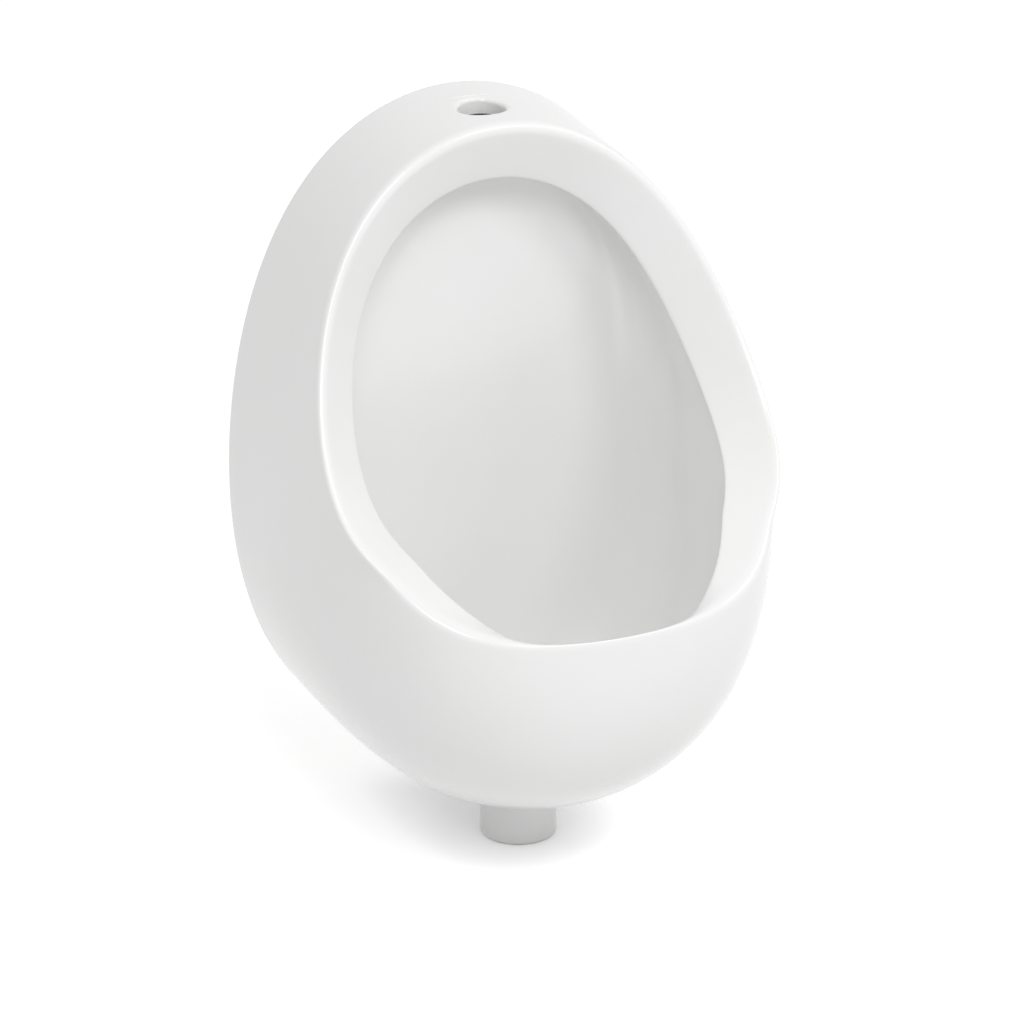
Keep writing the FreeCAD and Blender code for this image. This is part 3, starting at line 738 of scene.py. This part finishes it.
floor_ring = circle_on(tree_of_skin, outlet + UP * (FOOT + FROM_BOWL), -UP, WELL_RADIUS + WELL_ROUND)
belly_ring = circle_on(tree_of_skin, outlet + UP * (FOOT - FROM_OUTSIDE), UP, SPIGOT_RADIUS + SPIGOT_ROOT)
ring = open_skin(skin, floor_ring, UP, WELL_RADIUS + WELL_ROUND + RING_CLEAR, thickness=0.008)
ring = ring_by_ring(skin, ring, floor_ring, outlet, rolled_edge(WELL_RADIUS, WELL_ROUND, 6))
turns = arc(4, 0)
run = [(WELL_RADIUS - LEDGE_ROUND * (1 - cosine), ledge + LEDGE_ROUND * (1 - sine)) for sine, cosine in turns]
run += [(hole + BORE_ROUND * (1 - sine), ledge - BORE_ROUND * (1 - cosine)) for sine, cosine in turns]
run += [(hole + BORE_ROUND * (1 - cosine), spigot_end + BORE_ROUND * (1 - sine)) for sine, cosine in turns]
run += [(SPIGOT_RADIUS - SPIGOT_ROUND * (1 - sine), spigot_end + SPIGOT_ROUND * (1 - cosine))
        for sine, cosine in arc(8, 0)]
ring = ring_by_ring(skin, ring, floor_ring, outlet, run, level=True)
belly = open_skin(skin, belly_ring, UP, SPIGOT_RADIUS + SPIGOT_ROOT + RING_CLEAR, thickness=0.008)
ring = ring_by_ring(skin, ring, belly_ring, outlet, rolled_edge(SPIGOT_RADIUS, SPIGOT_ROOT, 6)[::-1])
join_rings(skin, ring, belly)
print("outlet: ledge at", round(ledge, 4), "end at", round(spigot_end, 4))

# %% [markdown]
# ## The lugs in the hollow back
# The china hangs on two ledges inside its open back. Under each ledge a rib drops behind the hook's lip.
# The modeller presses them out of soft clay, so every edge is round. They are added from a profile that
# is drawn out sideways, then rounded all over, with their roots inside the wall behind the bowl.

# %% Hanging lugs
HANGER_SPACING = 0.170
SHELF = FOOT + 0.26038             # top of the wall hooks' lower bend
LUG_HALF = 0.020
LUG_ROUND = 0.0018
LUG_ROOT, LUG_FRONT, LUG_BACK = -0.0255, -0.014, -0.004       # y of the root, and of the rib's two faces
LUG_TOP, LUG_UNDER, RIB_END = 0.032, 0.0195, 0.005             # heights above the shelf
LUG_PROFILE = ((LUG_ROOT, LUG_TOP), (LUG_BACK, LUG_TOP), (LUG_BACK, RIB_END), (LUG_FRONT, RIB_END),
               (LUG_FRONT, LUG_UNDER), (LUG_ROOT, LUG_UNDER))


def add_lug(bm, centre):
    """One ledge with its rib: a closed form in the same mesh."""
    lug = bmesh.new()
    outline = [lug.verts.new((centre - LUG_HALF, y, SHELF + rise)) for y, rise in LUG_PROFILE]
    face = lug.faces.new(outline)
    drawn = bmesh.ops.extrude_face_region(lug, geom=[face])["geom"]
    far_end = [part for part in drawn if isinstance(part, bmesh.types.BMVert)]
    bmesh.ops.translate(lug, verts=far_end, vec=(2 * LUG_HALF, 0, 0))
    bmesh.ops.recalc_face_normals(lug, faces=lug.faces)
    bmesh.ops.bevel(lug, geom=lug.edges, offset=LUG_ROUND, segments=4, profile=0.5, affect="EDGES")
    made = bpy.data.meshes.new("lug")
    lug.to_mesh(made)
    lug.free()
    bm.from_mesh(made)
    bpy.data.meshes.remove(made)


for side in (-1, 1):
    add_lug(skin, side * HANGER_SPACING / 2)
print("with lugs:", len(skin.faces), "faces")

# %% Finish the china
def finished(mesh, name, material, body, nodes, crease=35):
    """An object from a mesh, smooth but for its sharp edges, on its body and for its nodes."""
    mesh.name = name
    if material:
        mesh.materials.clear()
        mesh.materials.append(material)
    for polygon in mesh.polygons:
        polygon.use_smooth = True
    mesh.set_sharp_from_angle(angle=math.radians(crease))
    piece = bpy.data.objects.new(name, mesh)
    scene.collection.objects.link(piece)
    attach(piece, body)
    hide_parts(*nodes)
    print(name + ":", len(mesh.polygons), "faces for", ", ".join(nodes))


def mesh_of(bm):
    """A plain mesh with its faces outward; the bmesh is used up."""
    bmesh.ops.recalc_face_normals(bm, faces=bm.faces)
    mesh = bpy.data.meshes.new("made")
    bm.to_mesh(mesh)
    bm.free()
    return mesh


open_edges = sum(1 for e in skin.edges if len(e.link_faces) != 2)
print("china:", open_edges, "open edges, volume", round(skin.calc_volume() * 1e6), "cm3")
finished(mesh_of(skin), "china_casting", china_material, "china", ["ceramic_body"], crease=50)

# %% [markdown]
# ## Steel and rubber
# The hooks and the bolts are mild steel with bright zinc on it, passivated to a faint blue that turns
# straw coloured in places, and a little dull where it was handled. The strainer is stainless steel,
# pressed and then polished on a turning table, so its fine lines run in circles. The seals are moulded
# EPDM rubber: nearly black, matt, with the faint grain of the mould.

# %% Zinc plated steel
ZINC_CLOUD = 0.006            # metres from one cloud of the passivation to the next
ZINC_GRAIN = 0.00035          # coarser than the real plating, so that it shows

zinc, tree = new_material("zinc_plated_steel_blue_passivated")
place = add_node(tree, "ShaderNodeTexCoord").outputs["Object"]
cloud = add_node(tree, "ShaderNodeTexNoise", {"Scale": 1 / ZINC_CLOUD, "Detail": 3.0, "Roughness": 0.55},
                 {"Vector": place})
grain = add_node(tree, "ShaderNodeTexNoise", {"Scale": 1 / ZINC_GRAIN, "Detail": 2.0}, {"Vector": place})
tint = add_node(tree, "ShaderNodeValToRGB", links={0: cloud})
for stop, position, colour in zip(tint.color_ramp.elements, (0.34, 0.68), ("CBD0D8", "D3D1CA")):
    stop.position, stop.color = position, linear(colour)
dull = add_node(tree, "ShaderNodeMapRange",
                {"From Min": 0.3, "From Max": 0.7, "To Min": 0.26, "To Max": 0.46}, {"Value": cloud})
bite = add_node(tree, "ShaderNodeBump", {"Strength": 0.25, "Distance": 0.00004}, {"Height": grain})
metal = add_node(tree, "ShaderNodeBsdfPrincipled", {"Metallic": 1.0},
                 {"Base Color": tint, "Roughness": dull, "Normal": bite})
add_node(tree, "ShaderNodeOutputMaterial", links={"Surface": metal})

# %% Stainless steel
POLISH_LINE = 0.00016         # metres from one polishing line to the next

stainless, tree = new_material("stainless_steel_turned_satin")
place = add_node(tree, "ShaderNodeTexCoord").outputs["Object"]
from_axis = add_node(tree, "ShaderNodeVectorMath", {1: (0.0, -OUTLET_DEPTH, 0.0)}, {0: place},
                     operation="SUBTRACT")
level = add_node(tree, "ShaderNodeVectorMath", {1: (1.0, 1.0, 0.0)}, {0: from_axis}, operation="MULTIPLY")
radius = add_node(tree, "ShaderNodeVectorMath", links={0: level}, operation="LENGTH")
turned = add_node(tree, "ShaderNodeMath", {1: 1 / POLISH_LINE}, {0: radius.outputs["Value"]},
                  operation="MULTIPLY")
lines = add_node(tree, "ShaderNodeTexNoise", {"Scale": 1.0, "Detail": 2.0}, {"W": turned},
                 noise_dimensions="1D")
satin = add_node(tree, "ShaderNodeMapRange", {"To Min": 0.2, "To Max": 0.4}, {"Value": lines})
groove = add_node(tree, "ShaderNodeBump", {"Strength": 0.3, "Distance": 0.00003}, {"Height": lines})
metal = add_node(tree, "ShaderNodeBsdfPrincipled", {"Metallic": 1.0, "Base Color": linear("CFCFCD")},
                 {"Roughness": satin, "Normal": groove})
add_node(tree, "ShaderNodeOutputMaterial", links={"Surface": metal})

# %% Moulded rubber
RUBBER_GRAIN = 0.0005
RUBBER_BLOOM = 120.0          # pale clouds to a metre

rubber, tree = new_material("moulded_epdm_rubber")
place = add_node(tree, "ShaderNodeTexCoord").outputs["Object"]
grain = add_node(tree, "ShaderNodeTexNoise", {"Scale": 1 / RUBBER_GRAIN, "Detail": 3.0}, {"Vector": place})
bloom = add_node(tree, "ShaderNodeTexNoise", {"Scale": RUBBER_BLOOM, "Detail": 3.0}, {"Vector": place})
shade = add_node(tree, "ShaderNodeValToRGB", links={0: bloom})
for stop, colour in zip(shade.color_ramp.elements, ("29292A", "3A3A3C")):
    stop.color = linear(colour)
skin_bump = add_node(tree, "ShaderNodeBump", {"Strength": 0.35, "Distance": 0.00006}, {"Height": grain})
soft = add_node(tree, "ShaderNodeBsdfPrincipled", {"Roughness": 0.72, "IOR": 1.5},
                {"Base Color": shade, "Normal": skin_bump})
add_node(tree, "ShaderNodeOutputMaterial", links={"Surface": soft})

# %% [markdown]
# ## Turned pieces
# The ring in the inlet, the gasket and the strainer are all round. Each is an outline of corners, given
# as radius and height with a rounding, which is turned about its axis. The inlet's ring has three thin
# fins inside, which bend as the flush pipe is pushed in and seal against it.

# %% Turning helpers
def rounded(corners, count=3):
    """A closed outline with its corners rounded; each corner is (radius, height, rounding)."""
    run = []
    for k, (radius, height, rounding) in enumerate(corners):
        corner = (radius, height)
        if rounding == 0:
            run.append(corner)
            continue
        start = towards(corner, corners[k - 1][:2], rounding, 0.49)
        end = towards(corner, corners[(k + 1) % len(corners)][:2], rounding, 0.49)
        run += [start] + bend(start, corner, end, count)
    return run


def full_turn(count):
    return [2 * math.pi * k / count for k in range(count)]


def ring_of(bm, row, turns, centre=Vector()):
    """Points at the turns about an upright axis, each at its own radius and height."""
    return [bm.verts.new(centre + Vector((radius * math.cos(turn), radius * math.sin(turn), height)))
            for turn, (radius, height) in zip(turns, row)]


def close_end(bm, ring, point):
    """Triangles from a ring to a pole."""
    pole = bm.verts.new(point)
    for k in range(len(ring)):
        bm.faces.new((ring[k - 1], ring[k], pole))


def lathe(outline, count=96, centre=(0, 0, 0)):
    """A closed form turned about an upright axis. An outline that ends on the axis gets a pole there."""
    bm, centre, turns = bmesh.new(), Vector(centre), full_turn(count)
    on_axis = outline[0][0] == 0
    rings = [ring_of(bm, [point] * count, turns, centre) for point in (outline[1:-1] if on_axis else outline)]
    join_all(bm, rings, closed=not on_axis)
    if on_axis:
        close_end(bm, rings[0], centre + UP * outline[0][1])
        close_end(bm, rings[-1], centre + UP * outline[-1][1])
    return bm


def band(inner, outer, low, high, rounding):
    """A flat ring's outline, from corner to corner."""
    return [(inner, low, rounding), (outer, low, rounding), (outer, high, rounding), (inner, high, rounding)]


# %% Inlet seal and strainer gasket
SEAL_BORE = 0.0105
FIN_ROOT = 0.0012
SEAL_EDGE, GASKET_EDGE = 0.0006, 0.0004
GASKET_CLEAR = 0.001          # from the outlet's bore to the gasket's
FIRST_FIN, NEXT_FIN = 0.14, 0.28            # shares of the seal's length
FIN_AT_ROOT, FIN_AT_TIP = 0.0013, 0.0004    # the fin's thickness

low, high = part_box("inlet_seal")
length = high[2] - low[2]
outline = band(SEAL_BORE + FIN_ROOT, (high[0] - low[0]) / 2, 0, length, SEAL_EDGE)
for fin in (2, 1, 0):
    foot = length * (FIRST_FIN + NEXT_FIN * fin)
    outline += [(SEAL_BORE + FIN_ROOT, foot + FIN_AT_ROOT, 0.0003), (SEAL_BORE, foot + FIN_AT_TIP, 0.0002),
                (SEAL_BORE, foot, 0.0001), (SEAL_BORE + FIN_ROOT, foot + 0.0001, 0.0003)]
seal = lathe(rounded(outline), centre=(0, -INLET_DEPTH, low[2]))
finished(mesh_of(seal), "inlet_pipe_seal", rubber, "china", ["inlet_seal"])

low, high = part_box("strainer_gasket")
flange_foot = high[2]
outline = band(hole + GASKET_CLEAR, (high[0] - low[0]) / 2, 0, high[2] - low[2], GASKET_EDGE)
gasket = lathe(rounded(outline), centre=(0, -OUTLET_DEPTH, low[2]))
finished(mesh_of(gasket), "flat_strainer_gasket", rubber, "china", ["strainer_gasket"])

# %% [markdown]
# ## The strainer
# A disc of stainless sheet is pressed into a low dome with a flat rim and a short skirt. Then twelve
# slots are punched in a ring, so the water runs through while larger things stay in the bowl. The
# punching repeats, so a Geometry Nodes tree does it: one round-ended punch, turned step by step, and
# one cut.

# %% Geometry Nodes helpers
def geometry_tree(name, inputs):
    """A tree with a mesh in and a mesh out, and the named inputs."""
    tree = bpy.data.node_groups.new(name, "GeometryNodeTree")
    tree.interface.new_socket("Geometry", in_out="INPUT", socket_type="NodeSocketGeometry")
    for label, kind in inputs.items():
        tree.interface.new_socket(label, in_out="INPUT", socket_type="NodeSocket" + kind)
    tree.interface.new_socket("Geometry", in_out="OUTPUT", socket_type="NodeSocketGeometry")
    return tree, tree.nodes.new("NodeGroupInput").outputs


def end_tree(tree, geometry, material):
    """The tree's last nodes: real geometry with its material."""
    real = add_node(tree, "GeometryNodeRealizeInstances", links={"Geometry": geometry})
    painted = add_node(tree, "GeometryNodeSetMaterial", links={"Geometry": real, "Material": material})
    add_node(tree, "NodeGroupOutput", links={0: painted})


def through_tree(mesh, tree, values):
    """The mesh after the tree, as a plain mesh."""
    carrier = bpy.data.objects.new("carrier", mesh)
    scene.collection.objects.link(carrier)
    modifier = carrier.modifiers.new(tree.name, "NODES")
    modifier.node_group = tree
    sockets = {item.name: item.identifier for item in tree.interface.items_tree if item.in_out == "INPUT"}
    for label, value in values.items():
        modifier[sockets[label]] = value
    evaluated = carrier.evaluated_get(bpy.context.evaluated_depsgraph_get())
    made = bpy.data.meshes.new_from_object(evaluated)
    carrier.modifiers.remove(modifier)
    bpy.data.objects.remove(carrier)
    return made


# %% Strainer dome
SHEET = 0.0015
FLANGE_RADIUS = 0.028
DOME_HALF = 0.022
DOME_RISE = 0.011
SKIRT_RADIUS = 0.0183
SKIRT_LENGTH = 0.014
SKIRT_EDGE = 0.0003
SKIRT_BEND = 0.0008           # where the skirt turns out into the flange
FLANGE_EDGE, FLANGE_EDGE_DROP = 0.0005, 0.0006
DOME_ROOT = 0.0012
SLOTS = 12
SLOT_WIDTH, SLOT_FROM, SLOT_TO = 0.003, 0.006, 0.0155
PUNCH_LENGTH = 0.022
dome_radius = (DOME_HALF ** 2 + DOME_RISE ** 2) / (2 * DOME_RISE)
sunk = dome_radius - DOME_RISE


def dome(inward, radius):
    """Height above the flange's top, at a radius, of the dome's outside or of its inside."""
    return math.sqrt((dome_radius - inward) ** 2 - radius ** 2) - sunk


outer_half = math.sqrt(dome_radius ** 2 - (sunk + SHEET * 0.4) ** 2)
inner_half = SKIRT_RADIUS - SHEET
run = [(inner_half * k / 24, dome(SHEET, inner_half * k / 24) + SHEET) for k in range(25)]
run += [(inner_half, -SKIRT_LENGTH + SKIRT_EDGE), (inner_half + SKIRT_EDGE, -SKIRT_LENGTH),
        (SKIRT_RADIUS - SKIRT_EDGE, -SKIRT_LENGTH), (SKIRT_RADIUS, -SKIRT_LENGTH + SKIRT_EDGE)]
eased = FLANGE_RADIUS - FLANGE_EDGE
for start, corner, end, count in (
        ((SKIRT_RADIUS, -SKIRT_BEND), (SKIRT_RADIUS, 0.0), (SKIRT_RADIUS + SKIRT_BEND, 0.0), 4),
        ((eased, 0.0), (FLANGE_RADIUS, 0.0), (FLANGE_RADIUS, FLANGE_EDGE_DROP), 4),
        ((FLANGE_RADIUS, SHEET - FLANGE_EDGE_DROP), (FLANGE_RADIUS, SHEET), (eased, SHEET), 4),
        ((DOME_HALF + DOME_ROOT, SHEET), (DOME_HALF, SHEET), (outer_half, dome(0, outer_half) + SHEET), 5)):
    run += [start] + bend(start, corner, end, count)
run += [(outer_half * (1 - k / 30), dome(0, outer_half * (1 - k / 30)) + SHEET) for k in range(1, 30)]
run += [(0, DOME_RISE + SHEET)]

tree, given = geometry_tree("punched_slots", {
    "Slots": "Int", "Slot Width": "Float", "From": "Float", "To": "Float", "Height": "Float",
    "Centre": "Vector", "Material": "Material"})
length = add_node(tree, "ShaderNodeMath", links={0: given["To"], 1: given["From"]}, operation="SUBTRACT")
both_ends = add_node(tree, "ShaderNodeMath", links={0: given["To"], 1: given["From"]}, operation="ADD")
middle = add_node(tree, "ShaderNodeMath", {1: 0.5}, {0: both_ends}, operation="MULTIPLY")
end_round = add_node(tree, "ShaderNodeMath", {1: 0.499}, {0: given["Slot Width"]}, operation="MULTIPLY")
outline = add_node(tree, "GeometryNodeCurvePrimitiveQuadrilateral",
                   links={"Width": length, "Height": given["Slot Width"]})
eased = add_node(tree, "GeometryNodeFilletCurve", {"Count": 6},
                 {"Curve": outline, "Radius": end_round}, mode="POLY")
sheet_face = add_node(tree, "GeometryNodeFillCurve", links={"Curve": eased})
rise = add_node(tree, "ShaderNodeCombineXYZ", links={"Z": given["Height"]})
pushed = add_node(tree, "GeometryNodeExtrudeMesh", {"Individual": False},
                  {"Mesh": sheet_face, "Offset": rise})
under = add_node(tree, "GeometryNodeFlipFaces", links={"Mesh": sheet_face})
closed = add_node(tree, "GeometryNodeJoinGeometry", links={0: pushed})
tree.links.new(under.outputs[0], closed.inputs[0])
welded = add_node(tree, "GeometryNodeMergeByDistance", {"Distance": 0.00001}, {"Geometry": closed})
place_out = add_node(tree, "ShaderNodeCombineXYZ", links={"X": middle})
punch = add_node(tree, "GeometryNodeTransform", links={"Geometry": welded, "Translation": place_out})
steps = add_node(tree, "GeometryNodePoints", links={"Count": given["Slots"], "Position": given["Centre"]})
number = add_node(tree, "GeometryNodeInputIndex")
whole = add_node(tree, "ShaderNodeMath", {0: 2 * math.pi}, {1: given["Slots"]}, operation="DIVIDE")
turn = add_node(tree, "ShaderNodeMath", links={0: number, 1: whole}, operation="MULTIPLY")
about = add_node(tree, "ShaderNodeCombineXYZ", links={"Z": turn})
punches = add_node(tree, "GeometryNodeInstanceOnPoints",
                   links={"Points": steps, "Instance": punch, "Rotation": about})
solid = add_node(tree, "GeometryNodeRealizeInstances", links={"Geometry": punches})
cut = add_node(tree, "GeometryNodeMeshBoolean", links={"Mesh 1": given["Geometry"], "Mesh 2": solid},
               operation="DIFFERENCE", solver="EXACT")
end_tree(tree, cut, given["Material"])

pressed = mesh_of(lathe(run, count=144, centre=(0, -OUTLET_DEPTH, flange_foot)))
before = len(pressed.polygons)
slotted = through_tree(pressed, tree, {
    "Slots": SLOTS, "Slot Width": SLOT_WIDTH, "From": SLOT_FROM, "To": SLOT_TO, "Height": PUNCH_LENGTH,
    "Centre": (0, -OUTLET_DEPTH, flange_foot + SHEET), "Material": stainless})
print("dome:", before, "faces before the slots and", len(slotted.polygons), "after")
finished(slotted, "slotted_strainer", None, "strainer", ["strainer_dome"])

# %% [markdown]
# ## Wall anchors
# Each hook is held by two through-bolts. A bolt is cold formed: a rolled thread at the front, a plain
# shank in the wall, a waist, and a cone at its end. A clip of spring steel lies loose round the waist,
# and the cone spreads it as the nut is tightened. All four are the same, so one of each is made at the
# middle of the fixings and a Geometry Nodes tree puts copies at the four places.

# %% Copies at the four fixings
fixings, given = geometry_tree("copies_at_wall_fixings", {
    "Across": "Float", "Pitch": "Float", "Count Across": "Int", "Count Up": "Int", "Material": "Material"})
grid = add_node(fixings, "GeometryNodeMeshGrid", links={
    "Size X": given["Across"], "Size Y": given["Pitch"], "Vertices X": given["Count Across"],
    "Vertices Y": given["Count Up"]})
upright = add_node(fixings, "GeometryNodeTransform", {"Rotation": (math.pi / 2, 0, 0)}, {"Geometry": grid})
copies = add_node(fixings, "GeometryNodeInstanceOnPoints",
                  links={"Points": upright, "Instance": given["Geometry"]})
end_tree(fixings, copies, given["Material"])

ANCHOR_PITCH = 0.028
INTO_WALL = Matrix.Rotation(-math.pi / 2, 4, "X")


def at_fixings(bm, name, material, prefix):
    """Four copies of a piece that was made upright at the origin, laid into the wall."""
    bmesh.ops.transform(bm, matrix=INTO_WALL, verts=bm.verts)
    made = through_tree(mesh_of(bm), fixings, {
        "Across": HANGER_SPACING, "Pitch": ANCHOR_PITCH, "Count Across": 2, "Count Up": 2,
        "Material": material})
    finished(made, name, None, "wall_hooks", [f"{prefix}_{k}" for k in (1, 2, 3, 4)])


# %% Through-bolts
PLATE = 0.003
WASHER = 0.0016
NUT = 0.0065
NUT_ACROSS = 0.013
BOLT_PAST_NUT = 0.002
BOLT_END = -PLATE - WASHER - NUT - BOLT_PAST_NUT
THREAD_PITCH = 0.00125
THREAD_ENDS = 0.0012          # the thread fades out over this length
THREAD_LEVELS = 110
CREST, ROOT = 0.00394, 0.00328
FLANK_LEVEL, FLANK_SLOPE = 1.35, 3.6        # over 1 is flat crest, under 0 is flat root
SHANK, SHANK_END = 0.004, 0.036
WAIST, WAIST_END = 0.003, 0.044
CONE, CONE_END = 0.0038, 0.050
TIP = CONE_END + 0.0015
COLUMNS = 40


def thread_radius(turn, height):
    """A rolled thread's radius: sloping flanks with a flat crest and root, winding once a pitch."""
    phase = (height / THREAD_PITCH - turn / (2 * math.pi)) % 1.0
    rise = min(1.0, max(0.0, FLANK_LEVEL - abs(phase - 0.5) * FLANK_SLOPE))
    run_in = min(1.0, (height - BOLT_END) / THREAD_ENDS)
    run_out = min(1.0, max(0.0, -height / THREAD_ENDS))
    return ROOT + (CREST - ROOT) * rise * run_in * run_out


bolt = bmesh.new()
turns = full_turn(COLUMNS)
levels = [BOLT_END * (1 - k / THREAD_LEVELS) for k in range(THREAD_LEVELS + 1)]
rows = [[(thread_radius(turn, height), height) for turn in turns] for height in levels]
rows += [[point] * COLUMNS for point in rounded([
    (SHANK - 0.0004, 0.0, 0), (SHANK, 0.0004, 0.0002), (SHANK, SHANK_END, 0.0003), (WAIST, SHANK_END, 0.0005),
    (WAIST, WAIST_END, 0.0006), (CONE, CONE_END, 0.0003), (WAIST, TIP, 0.0003), (WAIST * 0.6, TIP, 0)])]
rings = [ring_of(bolt, row, turns) for row in rows]
join_all(bolt, rings)
close_end(bolt, rings[0], UP * BOLT_END)
close_end(bolt, rings[-1], UP * TIP)
at_fixings(bolt, "wall_through_bolts", zinc, "wall_anchor")

# %% Clips, washers and nuts
CLIP_RADIUS, CLIP_BORE = 0.0038, 0.00305
CLIP_PLAY = 0.0005
CLIP_FROM, CLIP_TO = SHANK_END + CLIP_PLAY, WAIST_END - CLIP_PLAY
CLIP_EDGE = 0.0002
CLIP_SLIT = math.radians(14)
WASHER_BORE, WASHER_RADIUS = 0.0042, 0.008
NUT_COLUMNS = 72
FACE_RADIUS = NUT_ACROSS / 2 * 0.96
NUT_BORE = 0.0036
NUT_EASE = 0.0005             # the threaded hole is opened out this much at both faces
NUT_CHAMFER = math.radians(30)

clip = bmesh.new()
section = rounded(band(CLIP_BORE, CLIP_RADIUS, CLIP_FROM, CLIP_TO, CLIP_EDGE))
turns = [CLIP_SLIT / 2 + (2 * math.pi - CLIP_SLIT) * k / 56 for k in range(57)]
rings = [ring_of(clip, section, [turn] * len(section)) for turn in turns]
join_all(clip, rings)
clip.faces.new(rings[0])
clip.faces.new(rings[-1])
at_fixings(clip, "anchor_spring_clips", stainless, "anchor_clip")

low, high = -PLATE - WASHER, -PLATE
washer = lathe(rounded([(WASHER_BORE, low, 0.0002), (WASHER_RADIUS, low, 0.0004),
                        (WASHER_RADIUS, high, 0.0003), (WASHER_BORE, high, 0.0002)]), count=72)
at_fixings(washer, "plain_washers", zinc, "anchor_washer")

nut = bmesh.new()
turns = full_turn(NUT_COLUMNS)
low, high = -PLATE - WASHER - NUT, -PLATE - WASHER
flats = [NUT_ACROSS / 2 / math.cos((turn + math.pi / 6) % (math.pi / 3) - math.pi / 6) for turn in turns]
chamfer = [(radius - FACE_RADIUS) * math.tan(NUT_CHAMFER) for radius in flats]
rows = []
for level, way in ((low, 1), (high, -1)):
    face = [[point] * NUT_COLUMNS for point in (
        (NUT_BORE, level + way * NUT_EASE), (NUT_BORE + NUT_EASE, level), (FACE_RADIUS, level))]
    rows += (face + [[(radius, level + way * cut) for radius, cut in zip(flats, chamfer)]])[::way]
join_all(nut, [ring_of(nut, row, turns) for row in rows], closed=True)
at_fixings(nut, "hexagon_nuts", zinc, "anchor_nut")

# %% [markdown]
# ## Wall hooks and their pads
# The hooks are pressed from 3 mm sheet, and the frame's own pieces already have the sheet's thickness,
# its bends, its round corners and its holes. They are kept as they are and only get their surface: zinc
# on the hooks and moulded rubber on the pads, which lie between the steel and the china.

# %% Surfaces of the kept pieces
for node, material in (("hanger_left", zinc), ("hanger_right", zinc), ("hanger_pad_left", rubber),
                       ("hanger_pad_right", rubber)):
    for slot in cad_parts[node].material_slots:
        slot.material = material
        print(node, "is now", material.name)
